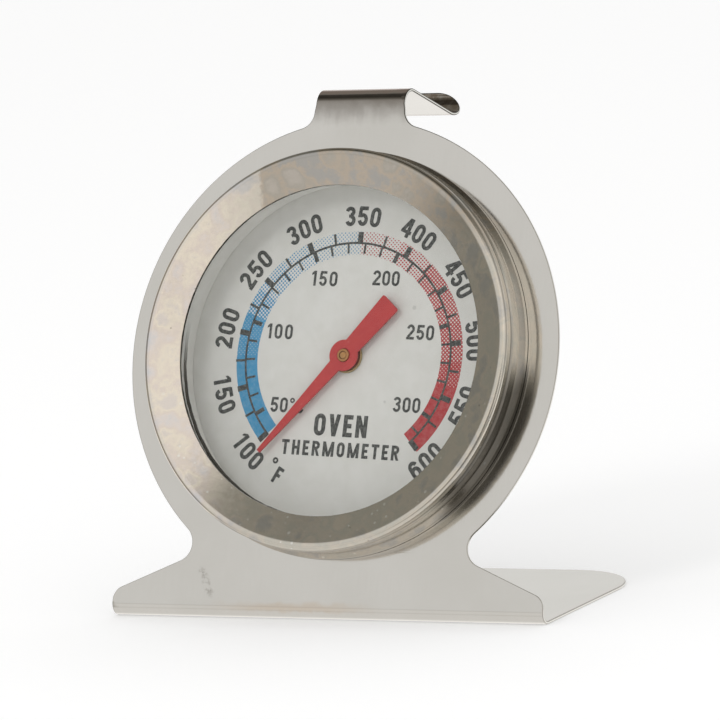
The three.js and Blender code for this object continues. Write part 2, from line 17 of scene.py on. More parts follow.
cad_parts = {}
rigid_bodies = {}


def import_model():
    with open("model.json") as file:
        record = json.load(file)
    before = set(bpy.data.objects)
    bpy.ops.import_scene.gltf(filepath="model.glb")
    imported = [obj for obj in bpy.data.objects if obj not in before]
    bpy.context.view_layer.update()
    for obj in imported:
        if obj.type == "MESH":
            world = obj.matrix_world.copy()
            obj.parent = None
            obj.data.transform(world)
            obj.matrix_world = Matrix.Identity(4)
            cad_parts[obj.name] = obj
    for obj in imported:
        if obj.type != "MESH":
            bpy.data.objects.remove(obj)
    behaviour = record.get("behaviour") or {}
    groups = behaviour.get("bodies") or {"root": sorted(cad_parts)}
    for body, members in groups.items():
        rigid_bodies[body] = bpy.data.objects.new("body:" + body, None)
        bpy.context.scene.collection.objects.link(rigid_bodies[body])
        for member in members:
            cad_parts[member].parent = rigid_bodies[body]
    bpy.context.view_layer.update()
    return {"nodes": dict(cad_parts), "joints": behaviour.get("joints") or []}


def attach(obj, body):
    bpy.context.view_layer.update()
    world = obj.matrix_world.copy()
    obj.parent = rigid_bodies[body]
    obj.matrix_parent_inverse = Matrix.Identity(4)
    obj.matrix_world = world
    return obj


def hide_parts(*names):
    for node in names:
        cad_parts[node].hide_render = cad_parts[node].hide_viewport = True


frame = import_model()

# ------------------------------------------------------------------ the plate frame

MM = 0.001
HINGE = frame["joints"][0]
CASE = HINGE["parent"]
SHAFT = HINGE["child"]
AXIS = Vector(HINGE["axis"]).normalized()
RIGHT = Vector((1.0, 0.0, 0.0))
LEAN = math.asin(-AXIS.z)


def plate_matrix():
    """Plate-frame millimetres to row-frame metres, with its origin where the axis meets the stand."""
    turn = Matrix((RIGHT, AXIS, RIGHT.cross(AXIS))).transposed().to_4x4()
    square = Matrix.Translation(Vector(HINGE["pos_m"])) @ turn
    stand = frame["nodes"]["stand_plate"].data.vertices
    front = min((square.inverted() @ v.co).y for v in stand)
    return square @ Matrix.Translation((0.0, front, 0.0)) @ Matrix.Scale(MM, 4)


PLATE = plate_matrix()


class Extent:
    """How far a CAD node reaches in the plate frame, in millimetres."""

    def __init__(self, node):
        back_to_plate = PLATE.inverted()
        points = [back_to_plate @ v.co for v in frame["nodes"][node].data.vertices]
        self.left, self.front, self.bottom = (min(p[i] for p in points) for i in range(3))
        self.right, self.back, self.top = (max(p[i] for p in points) for i in range(3))
        self.radius = max(math.hypot(p.x, p.z) for p in points)
        self.bore = min(math.hypot(p.x, p.z) for p in points)


STAND = Extent("stand_plate")
BACK_CUP = Extent("rear_case")
BEZEL = Extent("bezel_ring")
LENS = Extent("lens_glass")
SPACER = Extent("dial_spacer_ring")
DIAL = Extent("dial_plate")
BUSH = Extent("dial_bushing")
POINTER = Extent("pointer")
COLLET = Extent("pointer_collet")
STAFF = Extent("pointer_staff")
COIL = Extent("bimetal_coil")

# ------------------------------------------------------------------ driving dimensions, millimetres

SHEET = 0.4
DISC_R = 31.0
FOOT_LENGTH = 33.8
FOOT_HALF_WIDTH = STAND.right
FOLD_BELOW_AXIS = 34.8
FOOT_REAR_CORNER_R = 10.6
FOOT_FOLD_R = 1.5
FOOT_END_HEIGHT = 3.6
SHOULDER_SLOPE = math.radians(22.75)
SHOULDER_CORNER_R = 2.0
WAIST_FILLET_R = 2.5
NECK_HALF_WIDTH = 6.6
NECK_FILLET_R = 2.3
HOOK_HALF_WIDTH = 6.45
CREST_ABOVE_AXIS = 35.35
CREST_FOLD_R = 2.4
HOOK_TURN = math.radians(94.5)
HOOK_RUN = 11.0
CURL_R = 3.6
CURL_TURN = math.radians(90.0)
TONGUE_CORNER = (4.2, 3.9)
CASE_HOLE_R = 25.6
STAND_RIM = 0.1

CASE_WALL = 0.4
BARREL_R = 25.4
DRUM_R = 22.8
DIAL_SEAT = 2.1
BEAD_FRONT = 0.5
BEAD_BACK = 1.5
CASE_CORNER_R = 1.2
VENT_COUNT = 6
VENT_CIRCLE_R = 16.5
VENT_R = 1.6
VENT_RIM = 0.08
BACK_MARGIN = 0.5
RIVET_OUT = Extent("bridge_rivet_right").right
RIVET_HEAD_R = 1.62
RIVET_SHANK_R = 0.9
RIVET_HEAD_HEIGHT = 0.63
RIVET_PLAY = 0.05
RIVET_X = RIVET_OUT - RIVET_HEAD_R

BEZEL_SHEET = 0.45
LIP_FRONT = -4.15
CROWN_R = 25.4
WALL_R = 26.23
ROLL_R = 0.62
GROOVE_Y = -3.88
GROOVE_DEPTH = 0.18
FLARE_Y = -1.75

LENS_CHAMFER = 0.25
SPACER_WALL = 0.45
DIAL_RIM = 0.06
BUSH_PLAY = 0.1
BUSH_LIFT = 0.05
SEAT_GAP = 0.03

POINTER_ANGLE = math.radians(227.6)
POINTER_REACH = 17.1
POINTER_TAIL = 9.4
POINTER_HUB_R = 2.05
POINTER_HALF_WIDTHS = {"tip": 0.28, "root": 0.92, "tail root": 1.2, "tail end": 1.49}
POINTER_RIM = 0.06
POINTER_TAIL_CORNER = 0.25
COLLET_R = 0.85

COIL_INNER_R = 2.35
COIL_OUTER_R = 11.4
COIL_TURNS = 5
COIL_STRIP = 0.35
COIL_TAIL = 3.2
COIL_RIM = 0.04

TURN_STEPS = 180
SMALL_TURN_STEPS = 64
CORNER_STEPS = 6
RIM_STEPS = 2
BEND_STEP = math.radians(6.0)
PRINT_STEP = math.radians(2.0)
SHARP = math.radians(40.0)
ON_AXIS = 1e-6
SAME_POINT = 1e-5
SEAM_REACH = 1e-4
MITRE_LIMIT = 0.3


def polar(radius, angle, x=0.0, z=0.0):
    return Vector((x + radius * math.cos(angle), z + radius * math.sin(angle)))


def arc(centre, radius, start, end, steps):
    """Points along an arc. The radius is one number, or one for x and one for z."""
    rx, rz = radius if isinstance(radius, tuple) else (radius, radius)
    turns = [start + (end - start) * i / steps for i in range(steps + 1)]
    return [Vector((centre[0] + rx * math.cos(a), centre[1] + rz * math.sin(a))) for a in turns]


def rounded(corners, closed=True):
    """Fillets a profile of (a, b, fillet radius) corners. An open profile keeps its two ends."""
    points = []
    last = len(corners) - 1
    for i, (a, b, radius) in enumerate(corners):
        here = Vector((a, b))
        if radius == 0 or (not closed and i in (0, last)):
            points.append(here)
            continue
        before = (Vector(corners[i - 1][:2]) - here).normalized()
        after = (Vector(corners[(i + 1) % len(corners)][:2]) - here).normalized()
        half = before.angle(after) / 2
        centre = here + (before + after).normalized() * (radius / math.sin(half))
        start = here + before * (radius / math.tan(half)) - centre
        end = here + after * (radius / math.tan(half)) - centre
        turn = math.copysign(start.angle(end), start.x * end.y - start.y * end.x)
        for step in range(CORNER_STEPS + 1):
            points.append(centre + Matrix.Rotation(turn * step / CORNER_STEPS, 2) @ start)
    return points


# ------------------------------------------------------------------ mesh building


def finish_mesh(bm, name):
    """Orients and smooths a piece's mesh, with its hard edges kept sharp, and moves it to the row frame.
    Each vertex keeps its place in the plate frame, which the materials read."""
    bmesh.ops.recalc_face_normals(bm, faces=bm.faces)
    place = bm.verts.layers.float_vector.new("plate_place")
    for vert in bm.verts:
        vert[place] = vert.co
    bm.transform(PLATE)
    mesh = bpy.data.meshes.new(name)
    bm.to_mesh(mesh)
    bm.free()
    mesh.shade_smooth()
    mesh.set_sharp_from_angle(angle=SHARP)
    return mesh


def link_object(name, data):
    made = bpy.data.objects.new(name, data)
    bpy.context.scene.collection.objects.link(made)
    return made


def add_piece(name, bm, body, slot, material, *nodes):
    """Makes a piece from a mesh drawn in the plate frame. It rides on its body in place of CAD nodes."""
    mesh = finish_mesh(bm, name)
    mesh.materials.append(material)
    piece = link_object(name, mesh)
    even = piece.modifiers.new("even_normals", "WEIGHTED_NORMAL")
    even.keep_sharp = True
    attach(piece, body)
    if nodes:
        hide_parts(*nodes)
    return piece


def join_rings(bm, one, other):
    """Faces between two closed rings of the same length. A ring of one vertex is a pole."""
    count = max(len(one), len(other))
    for i in range(count):
        corners = [
            one[i % len(one)],
            one[(i + 1) % len(one)],
            other[(i + 1) % len(other)],
            other[i % len(other)],
        ]
        bm.faces.new(dict.fromkeys(corners))


def lathe_into(bm, profile, segments, closed):
    """Turns a profile of (radius, y) points about the y axis, and returns its rings."""
    rings = []
    for radius, y in profile:
        count = 1 if radius < ON_AXIS else segments
        turn = math.tau / count
        spots = [polar(radius, i * turn) for i in range(count)]
        rings.append([bm.verts.new((p.x, y, p.y)) for p in spots])
    pairs = zip(rings, rings[1:] + rings[:1] if closed else rings[1:])
    for one, other in pairs:
        if len(one) > 1 or len(other) > 1:
            join_rings(bm, one, other)
    return rings


def lathe(profile, segments=TURN_STEPS, closed=True):
    bm = bmesh.new()
    lathe_into(bm, profile, segments, closed)
    return bm


def plug(extent, fillet, segments):
    """A solid disc or pin on the axis with rounded rims."""
    rims = [(extent.radius, extent.front, fillet), (extent.radius, extent.back, fillet)]
    profile = rounded([(0.0, extent.front, 0), *rims, (0.0, extent.back, 0)], closed=False)
    return lathe(profile, segments, closed=False)


def stepped_ring(extent, front_r, step, back_r, fillets, segments=SMALL_TURN_STEPS):
    """A ring whose outer side has one step. Fillets run from the front of the bore, outwards and back."""
    places = [
        (extent.bore, extent.front),
        (front_r, extent.front),
        (front_r, step),
        (back_r, step),
        (back_r, extent.back),
        (extent.bore, extent.back),
    ]
    corners = [(*place, fillet) for place, fillet in zip(places, fillets)]
    return lathe(rounded(corners), segments)


def inset(loop, distance):
    """Moves a closed loop towards its left side by a distance, along mitred corners."""
    moved = []
    for i, here in enumerate(loop):
        before = (here - loop[i - 1]).normalized()
        after = (loop[(i + 1) % len(loop)] - here).normalized()
        left = Vector((-before.y - after.y, before.x + after.x)).normalized()
        moved.append(here + left * (distance / max(MITRE_LIMIT, left.dot((-before.y, before.x)))))
    return moved


def slab_into(bm, loops, front, back, rim, flush=()):
    """A flat sheet between y = front and y = back with rounded rims. The first loop is the outline,
    counter-clockwise, and the others are holes, clockwise. A flush loop gets no rim and no side."""
    quarter = [math.pi / 2 * i / RIM_STEPS for i in range(RIM_STEPS + 1)]
    levels = [(rim * (1 - math.sin(a)), front + rim * (1 - math.cos(a))) for a in quarter]
    levels += [(step, front + back - y) for step, y in reversed(levels)]
    caps = {0: [], len(levels) - 1: []}
    for index, loop in enumerate(loops):
        rings = []
        for level, (step, y) in enumerate(levels):
            if index in flush and level not in caps:
                continue
            outline = loop if index in flush else inset(loop, step)
            rings.append([bm.verts.new((p.x, y, p.y)) for p in outline])
        caps[0].append(rings[0])
        caps[len(levels) - 1].append(rings[-1])
        if index not in flush:
            for one, other in zip(rings, rings[1:]):
                join_rings(bm, one, other)
    for rings in caps.values():
        corners = [v for ring in rings for v in ring]
        for triangle in tessellate_polygon([[v.co for v in ring] for ring in rings]):
            bm.faces.new([corners[i] for i in triangle])


def slab(loops, front, back, rim):
    bm = bmesh.new()
    slab_into(bm, loops, front, back, rim)
    return bm


def circle(radius, x=0.0, z=0.0, segments=SMALL_TURN_STEPS, hole=False):
    sense = -1 if hole else 1
    return [polar(radius, sense * math.tau * i / segments, x, z) for i in range(segments)]


# ------------------------------------------------------------------ procedural materials


def linear(red, green, blue):
    """A display colour, 0 to 255, as Blender's scene-linear RGBA."""
    scale = (red / 255, green / 255, blue / 255)
    return tuple(c / 12.92 if c <= 0.04045 else ((c + 0.055) / 1.055) ** 2.4 for c in scale) + (1.0,)


WHITE = (1.0, 1.0, 1.0, 1.0)
SPECK_RARITY = 6.0
SPECK_SOFT = 0.02
NOISE_RANGE = (0.3, 0.7)


class Graph:
    """A node tree with short calls for the nodes that the materials share."""

    def __init__(self, tree):
        self.tree = tree
        tree.nodes.clear()

    def node(self, kind, settings=None, **sockets):
        """A new node. Sockets go by name, with _ for a space, or by place as i0, i1 and so on."""
        made = self.tree.nodes.new("ShaderNode" + kind)
        for key, value in (settings or {}).items():
            setattr(made, key, value)
        for key, value in sockets.items():
            socket = made.inputs[int(key[1:])] if key[1:].isdigit() else made.inputs[key.replace("_", " ")]
            self.feed(socket, value)
        return made

    def feed(self, socket, value):
        if isinstance(value, bpy.types.NodeSocket):
            self.tree.links.new(value, socket)
        else:
            socket.default_value = value

    def math(self, operation, a, b=0.0):
        return self.node("Math", {"operation": operation}, i0=a, i1=b).outputs[0]

    def times(self, value, *factors):
        for factor in factors:
            value = self.math("MULTIPLY", value, factor)
        return value

    def plus(self, a, b):
        return self.math("ADD", a, b)

    def minus(self, a, b):
        return self.math("SUBTRACT", a, b)

    def mix(self, factor, one, other):
        return self.node("Mix", {"data_type": "RGBA"}, i0=factor, i6=one, i7=other).outputs[2]

    def cover(self, tone, over, mask, share):
        """Lays a share of one tone over another where the mask is one."""
        return self.mix(self.times(mask, share), tone, over)

    def span(self, value, low, high, start=0.0, end=1.0):
        """A smooth step of the value from low to high."""
        sockets = {"Value": value, "From_Min": low, "From_Max": high, "To_Min": start, "To_Max": end}
        return self.node("MapRange", {"interpolation_type": "SMOOTHSTEP"}, **sockets).outputs[0]

    def vary(self, noise, start=0.0, end=1.0):
        """Spreads the usual range of a noise from start to end."""
        return self.span(noise, *NOISE_RANGE, start, end)

    def within(self, value, low, high, soft):
        """One inside low to high, falling to zero over a soft margin."""
        rise = self.span(value, low - soft, low + soft)
        fall = self.span(value, high - soft, high + soft, 1.0, 0.0)
        return self.times(rise, fall)

    def stretch(self, vector, scale):
        return self.node("Mapping", Vector=vector, Scale=scale).outputs[0]

    def noise(self, vector, scale, detail=3.0, roughness=0.5):
        sockets = {"Vector": vector, "Scale": scale, "Detail": detail, "Roughness": roughness}
        return self.node("TexNoise", None, **sockets).outputs[0]

    def specks(self, vector, scale, size):
        """Small round marks: one inside a speck and zero outside."""
        cells = self.node("TexVoronoi", {"feature": "F1"}, Vector=vector, Scale=scale)
        share = self.node("SeparateColor", None, Color=cells.outputs["Color"]).outputs[0]
        reach = self.times(self.math("POWER", share, SPECK_RARITY), size)
        beyond = self.minus(cells.outputs["Distance"], reach)
        return self.span(beyond, -SPECK_SOFT, SPECK_SOFT, 1.0, 0.0)

    def ramp(self, value, stops, constant=False):
        made = self.node("ValToRGB", None, Fac=value)
        made.color_ramp.interpolation = "CONSTANT" if constant else "LINEAR"
        elements = made.color_ramp.elements
        while len(elements) < len(stops):
            elements.new(1.0)
        for element, (place, colour) in zip(elements, stops):
            element.position = place
            element.color = colour if isinstance(colour, tuple) else (colour, colour, colour, 1.0)
        return made.outputs[0]

    def bump(self, height, distance, strength=1.0, normal=None):
        sockets = {"Height": height, "Distance": distance, "Strength": strength}
        if normal is not None:
            sockets["Normal"] = normal
        return self.node("Bump", None, **sockets).outputs[0]


def new_material(name):
    """An empty material's graph, and its texture place in plate-frame millimetres."""
    material = bpy.data.materials.new(name)
    material.use_nodes = True
    graph = Graph(material.node_tree)
    place = graph.node("Attribute", {"attribute_name": "plate_place"}).outputs["Vector"]
    return material, graph, place


def close_surface(material, graph, tone, rough, normal, **more):
    sockets = {"Base_Color": tone, "Roughness": rough, "Normal": normal, **more}
    surface = graph.node("BsdfPrincipled", None, **sockets)
    graph.node("OutputMaterial", None, Surface=surface.outputs[0])
    return material


def axes(graph, vector):
    return graph.node("SeparateXYZ", None, Vector=vector).outputs


def radius_of(graph, x, z):
    """Distance from the pointer's axis."""
    flat = graph.node("CombineXYZ", None, X=x, Y=z, Z=0.0).outputs[0]
    return graph.node("VectorMath", {"operation": "LENGTH"}, i0=flat).outputs["Value"]


METALS = {
    "drawn_case_steel": {"colour": linear(206, 204, 199), "roughness": 0.24, "lay": (0.6, 3.0, 0.6)},
    "rivet_steel": {"colour": linear(196, 195, 190), "roughness": 0.3},
    "pin_brass": {"colour": linear(206, 152, 96), "roughness": 0.38, "mottle": 0.05},
    "bush_brass": {"colour": linear(190, 168, 122), "roughness": 0.36},
    "staff_metal": {"colour": linear(204, 150, 92), "roughness": 0.32, "lay": (1.0, 0.3, 1.0)},
    "bimetal_strip": {"colour": linear(178, 166, 148), "roughness": 0.3, "lay": (1.0, 4.0, 1.0)},
    "bracket_steel": {"colour": linear(190, 188, 182), "roughness": 0.32, "on_cad": True},
    "turned_brass": {"colour": linear(196, 164, 104), "roughness": 0.3, "on_cad": True},
}


def metal(name):
    return worked_metal(name, **METALS[name])


def worked_metal(name, colour, roughness, lay=(1.0, 1.0, 1.0), mottle=0.06, on_cad=False):
    """Metal with a lay of fine scratches. CAD nodes are read by their own place, in metres."""
    material, graph, place = new_material(name)
    if on_cad:
        place = graph.stretch(graph.node("TexCoord").outputs["Object"], (1 / MM, 1 / MM, 1 / MM))
    scratches = graph.noise(graph.stretch(place, lay), 4.0, 5.0, 0.65)
    blotches = graph.noise(place, 0.35, 4.0, 0.6)
    dull = tuple(c * (1 - 3 * mottle) for c in colour[:3]) + (1.0,)
    shade = graph.mix(graph.span(blotches, 0.35, 0.7), colour, dull)
    shade = graph.mix(graph.span(scratches, 0.3, 0.75, 0.0, mottle), shade, WHITE)
    rough = graph.span(scratches, 0.2, 0.8, roughness * 0.75, roughness * 1.3)
    return close_surface(material, graph, shade, rough, graph.bump(scratches, 2e-6, 0.6), Metallic=1.0)


PAINTS = {
    "spacer_white": (linear(234, 233, 228), linear(228, 227, 221), linear(190, 188, 180)),
    "red_enamel": (linear(194, 60, 59), linear(187, 55, 56), linear(236, 150, 140)),
}


def paint(name):
    """Enamel with a faint orange peel, slightly uneven in cover, with a few pin marks."""
    material, graph, place = new_material(name)
    full, thin, fleck = PAINTS[name]
    cloud = graph.noise(place, 0.8, 4.0, 0.6)
    tone = graph.mix(graph.vary(cloud), full, thin)
    tone = graph.cover(tone, fleck, graph.specks(place, 1.6, 0.2), 0.3)
    peel = graph.noise(place, 5.0)
    rough = graph.vary(peel, 0.38, 0.5)
    return close_surface(material, graph, tone, rough, graph.bump(peel, 3e-6, 0.4))


STAND_TONE = linear(216, 213, 208)
STAND_SHADE = linear(209, 206, 200)
# Dark heat tint at the crest fold. The same colour also serves as the painted shade that darkens the plate
# just below the fold.
CREST_HEAT_AND_SHADE_TONE = linear(120, 112, 104)
CREST_BLUSH = linear(176, 148, 140)
CURL_SOOT = linear(132, 118, 104)
FOLD_STAIN = linear(206, 188, 168)
STAIN_LEFT, STAIN_RIGHT = -13.0, 4.0
SCUFF_TONE = linear(150, 146, 138)
SCUFF_SLANT = 0.45
SCUFF_X = -17.4
SCUFF_BELOW_AXIS = 30.0
SCUFF_HALF_WIDTH = 0.5
# Painted reflection on the cut edges: dark lines towards both faces and a bright painted highlight along the
# middle, standing in for what the rounded edges reflect.
EDGE_DARK_REFLECTION_TONE = linear(84, 80, 74)
SOFT_EDGE_DARK_REFLECTION_TONE = linear(184, 180, 174)
CUT_EDGE_HIGHLIGHT_TONE = linear(244, 243, 238)
CUT_SKIN = 0.004
EDGE_DARK_REFLECTION_DEPTH = 0.13


def crest_heat(graph, tone, along, ragged, wide, crest_s):
    """Heat tints across the sheet where it folds into the hook, and painted shade that darkens the plate
    towards the fold.
    """
    streaked = graph.plus(ragged, graph.vary(wide, -0.3, 0.3))
    # Painted shade: the plate darkens over the last few millimetres below the crest fold.
    painted_shade_below_crest = graph.span(streaked, crest_s - 3.0, crest_s)
    painted_shade_below_crest = graph.times(painted_shade_below_crest, graph.span(along, crest_s + 1.6, crest_s + 0.8))
    heat = graph.within(ragged, crest_s + 0.1, crest_s + 1.5, 0.9)
    blush = graph.within(ragged, crest_s + 1.6, crest_s + 3.4, 0.5)
    tone = graph.cover(tone, CREST_HEAT_AND_SHADE_TONE, painted_shade_below_crest, 0.6)
    tone = graph.cover(tone, CREST_HEAT_AND_SHADE_TONE, heat, 0.8)
    return graph.cover(tone, CREST_BLUSH, blush, 0.7)


def slanting_scuff(graph, flat, across, along, scuff_s):
    """One inside a short, patchy scuff low on the plate, and zero outside."""
    slanted = graph.plus(across, graph.times(along, SCUFF_SLANT))
    middle = SCUFF_SLANT * scuff_s + SCUFF_X
    scuff_x = graph.within(slanted, middle - SCUFF_HALF_WIDTH, middle + SCUFF_HALF_WIDTH, 0.4)
    scuff_z = graph.within(along, scuff_s - 1.6, scuff_s + 1.8, 0.6)
    patchy = graph.span(graph.noise(flat, 1.4, 4.0, 0.7), 0.42, 0.6)
    return graph.times(scuff_x, scuff_z, patchy)


def stand_material(foot_end, fold_s, plate_s, crest_s, curl_s):
    """Bright satin sheet, lightly brushed along its length, with painted dark reflection lines beside its
    cut edges and a painted highlight along the middle of each cut edge. Marks are placed across the flat
    sheet, along it and through its thickness."""
    material, graph, _ = new_material("satin_sheet")
    flat = graph.node("Attribute", {"attribute_name": "flat_place"}).outputs["Vector"]
    across, along, depth = axes(graph, flat)
    brush = graph.noise(graph.stretch(flat, (8.0, 0.2, 1.0)), 1.0, 6.0, 0.7)
    wide = graph.noise(graph.stretch(flat, (0.5, 0.04, 1.0)), 1.0)
    cloud = graph.noise(flat, 0.08, 4.0, 0.55)
    tone = graph.mix(graph.span(brush, 0.3, 0.72, 0.0, 0.35), STAND_TONE, STAND_SHADE)
    tone = graph.mix(graph.span(cloud, 0.35, 0.7, 0.0, 0.6), tone, STAND_SHADE)

    wandering = graph.plus(along, graph.vary(graph.noise(flat, 0.5), -0.2, 0.2))
    tone = crest_heat(graph, tone, along, wandering, wide, crest_s)
    soot = graph.span(graph.noise(flat, 1.2, 4.0, 0.7), 0.3, 0.6, 0.55, 0.95)
    tone = graph.cover(tone, CURL_SOOT, soot, graph.span(along, curl_s - 0.5, curl_s + 1.0))
    at_fold = graph.within(wandering, fold_s + 0.6, fold_s + 1.7, 0.4)
    stain = graph.times(at_fold, graph.within(across, STAIN_LEFT, STAIN_RIGHT, 6.0))
    tone = graph.cover(tone, FOLD_STAIN, stain, 0.5)
    scuff = slanting_scuff(graph, flat, across, along, plate_s - SCUFF_BELOW_AXIS)
    tone = graph.cover(tone, SCUFF_TONE, scuff, 0.45)
    on_foot = graph.span(along, foot_end, foot_end - 1.0)
    specks = graph.times(graph.specks(flat, 0.5, 0.12), on_foot)
    tone = graph.cover(tone, SCUFF_TONE, specks, 0.35)

    # Painted reflection: each cut edge gets a painted highlight in its middle and painted dark lines towards
    # both faces, the dark lines softer lower down the plate.
    cut = graph.within(depth, CUT_SKIN, SHEET - CUT_SKIN, 0.003)
    core = graph.within(depth, EDGE_DARK_REFLECTION_DEPTH, SHEET - EDGE_DARK_REFLECTION_DEPTH, 0.02)
    edge_dark_reflection = graph.mix(graph.span(along, crest_s - 7.0, crest_s - 3.0), SOFT_EDGE_DARK_REFLECTION_TONE, EDGE_DARK_REFLECTION_TONE)
    tone = graph.mix(cut, tone, graph.mix(core, edge_dark_reflection, CUT_EDGE_HIGHLIGHT_TONE))

    rough = graph.plus(graph.span(brush, 0.25, 0.75, 0.07, 0.13), graph.times(graph.plus(scuff, cut), 0.2))
    waves = graph.bump(wide, 3e-6, 0.5)
    return close_surface(material, graph, tone, rough, graph.bump(brush, 4e-7, 0.5, waves), Metallic=1.0)


TINTED = [
    (0.25, linear(220, 218, 219)),
    (0.38, linear(228, 220, 216)),
    (0.48, linear(229, 218, 209)),
    (0.58, linear(236, 227, 213)),
    (0.70, linear(226, 218, 212)),
]
UNTINTED = [
    (0.28, linear(194, 191, 186)),
    (0.42, linear(212, 204, 192)),
    (0.56, linear(204, 200, 190)),
    (0.72, linear(216, 207, 194)),
]
BROWNED = [
    (0.30, linear(176, 173, 168)),
    (0.42, linear(190, 178, 163)),
    (0.55, linear(180, 174, 164)),
    (0.70, linear(190, 183, 174)),
]
BROWNED_FROM_X = -11.0
# Painted shade for the bezel: the dark colour laid on the lower right of its wall, in its groove and round
# its lip's inner edge.
BEZEL_PAINTED_SHADE = linear(58, 54, 48)
PIT_TONE = linear(120, 112, 104)
DUST_TONE = linear(238, 236, 230)
TO_LOW_RIGHT = (0.88, -0.47)
TO_LOW_LEFT = (-0.55, -0.83)


def towards(graph, x, z, way):
    """Distance from the pointer's axis along a direction in the dial's plane."""
    return graph.plus(graph.times(x, way[0]), graph.times(z, way[1]))


def bezel_material():
    """Polished pressed steel with heat tints that pool on its left side, and painted shade on the lower
    right of its wall, in its groove and along the inner edge of its lip.
    """
    material, graph, place = new_material("heat_tinted_bezel")
    x, y, z = axes(graph, place)
    around = radius_of(graph, x, z)
    warp = graph.noise(place, 0.6, 4.0, 0.65)
    fine = graph.noise(place, 1.6, 5.0, 0.7)
    cells = graph.node("TexVoronoi", {"feature": "SMOOTH_F1"}, Vector=place, Scale=0.45).outputs["Color"]
    cell = graph.node("SeparateColor", None, Color=cells).outputs[0]
    blend = graph.plus(graph.times(cell, 0.45), graph.times(warp, 0.55))
    tone = graph.mix(graph.span(x, -8.0, -20.0), graph.ramp(blend, UNTINTED), graph.ramp(blend, TINTED))
    ragged = graph.plus(x, graph.vary(fine, -0.15, 0.15))
    browned = graph.span(ragged, BROWNED_FROM_X - 0.3, BROWNED_FROM_X + 0.4)
    browned = graph.times(browned, graph.span(z, 12.0, 18.0))
    tone = graph.mix(browned, tone, graph.ramp(blend, BROWNED))

    tone = graph.cover(tone, PIT_TONE, graph.specks(place, 0.7, 0.1), 0.5)
    dust = graph.times(graph.specks(place, 1.3, 0.3), graph.span(z, -3.0, -9.0))
    tone = graph.cover(tone, DUST_TONE, dust, 0.7)
    # Painted shade: the wall behind the groove is darkened on its lower right.
    low_right_painted_shade = graph.span(towards(graph, x, z, TO_LOW_RIGHT), 23.5, 25.3)
    low_right_painted_shade = graph.times(low_right_painted_shade, graph.span(y, GROOVE_Y - 0.9, GROOVE_Y))
    tone = graph.cover(tone, BEZEL_PAINTED_SHADE, low_right_painted_shade, 0.8)
    # Painted shade in the groove, and along the lip's inner edge where the gap to the glass lies in shadow.
    groove_painted_shade = graph.within(y, GROOVE_Y - 0.12, GROOVE_Y + 0.16, 0.12)
    tone = graph.cover(tone, BEZEL_PAINTED_SHADE, groove_painted_shade, 0.6)
    lip_edge_painted_shade = graph.within(y, LIP_FRONT + 0.1, LIP_FRONT + BEZEL_SHEET - 0.02, 0.03)
    lip_edge_painted_shade = graph.times(lip_edge_painted_shade, graph.span(around, BEZEL.bore + 0.12, BEZEL.bore + 0.04))
    tone = graph.cover(tone, BEZEL_PAINTED_SHADE, lip_edge_painted_shade, 0.9)

    rings = graph.node("CombineXYZ", None, X=around, Y=y, Z=0.0).outputs[0]
    turning = graph.bump(graph.noise(rings, 5.0, 4.0, 0.6), 1.2e-6, 0.35, graph.bump(warp, 2e-5, 0.35))
    rough = graph.vary(fine, 0.14, 0.24)
    return close_surface(material, graph, tone, rough, turning, Metallic=1.0)


GLASS_IOR = 1.5
GLASS_TINT = (0.953, 0.954, 0.953, 1.0)
GLASS_HAZE = (0.943, 0.945, 0.943, 1.0)
GLASS_SHINE = 0.6
# Painted shadow: a dark line on the glass just inside the lip, where the gap between lip and glass is in
# shade.
GAP_SHADE_TONE = linear(84, 80, 72)
GAP_SHADE_FROM, GAP_SHADE_TO = 0.03, 0.5


def glass_material():
    """Thin clear window: light passes straight through it and each face keeps a faint reflection on its
    outer side only. A dark line of painted shadow, standing for the shaded gap between glass and lip, shows
    inside the lip, round the lower left."""
    material, graph, place = new_material("window_glass")
    x, _, z = axes(graph, place)
    film = graph.noise(place, 0.25)
    tint = graph.mix(graph.vary(film), GLASS_TINT, GLASS_HAZE)
    clear = graph.node("BsdfTransparent", None, Color=tint).outputs[0]
    smear = graph.span(film, 0.35, 0.75, 0.02, 0.08)
    shine = graph.node("BsdfGlossy", None, Color=WHITE, Roughness=smear).outputs[0]
    edge = graph.node("Fresnel", None, IOR=GLASS_IOR).outputs[0]
    outside = graph.minus(1.0, graph.node("NewGeometry").outputs["Backfacing"])
    share = graph.times(edge, outside, GLASS_SHINE)
    glass = graph.node("MixShader", None, i0=share, i1=clear, i2=shine).outputs[0]

    # Painted shadow of the gap at the lip, round the lower left, mixed over the glass as a dark diffuse
    # surface.
    side = graph.span(towards(graph, x, z, TO_LOW_LEFT), 8.0, 15.0)
    wobble = graph.vary(graph.noise(place, 0.4), -0.05, 0.05)
    reach = graph.plus(radius_of(graph, x, z), wobble)
    gap_shade_line = graph.within(reach, BEZEL.bore + GAP_SHADE_FROM, BEZEL.bore + GAP_SHADE_TO, 0.05)
    gap_shade = graph.node("BsdfDiffuse", None, Color=GAP_SHADE_TONE).outputs[0]
    lined = graph.node("MixShader", None, i0=graph.times(gap_shade_line, side), i1=glass, i2=gap_shade).outputs[0]
    graph.node("OutputMaterial", None, Surface=lined)
    return material


DIAL_PAINT = linear(226, 225, 220)
DIAL_SHADE = linear(221, 220, 214)
DIAL_SPECK = linear(160, 160, 156)
PRINT_BLACK = linear(50, 53, 50)
PRINT_BLUE = linear(58, 147, 192)
PRINT_RED = linear(182, 48, 52)
INK_ROUGHNESS = 0.5


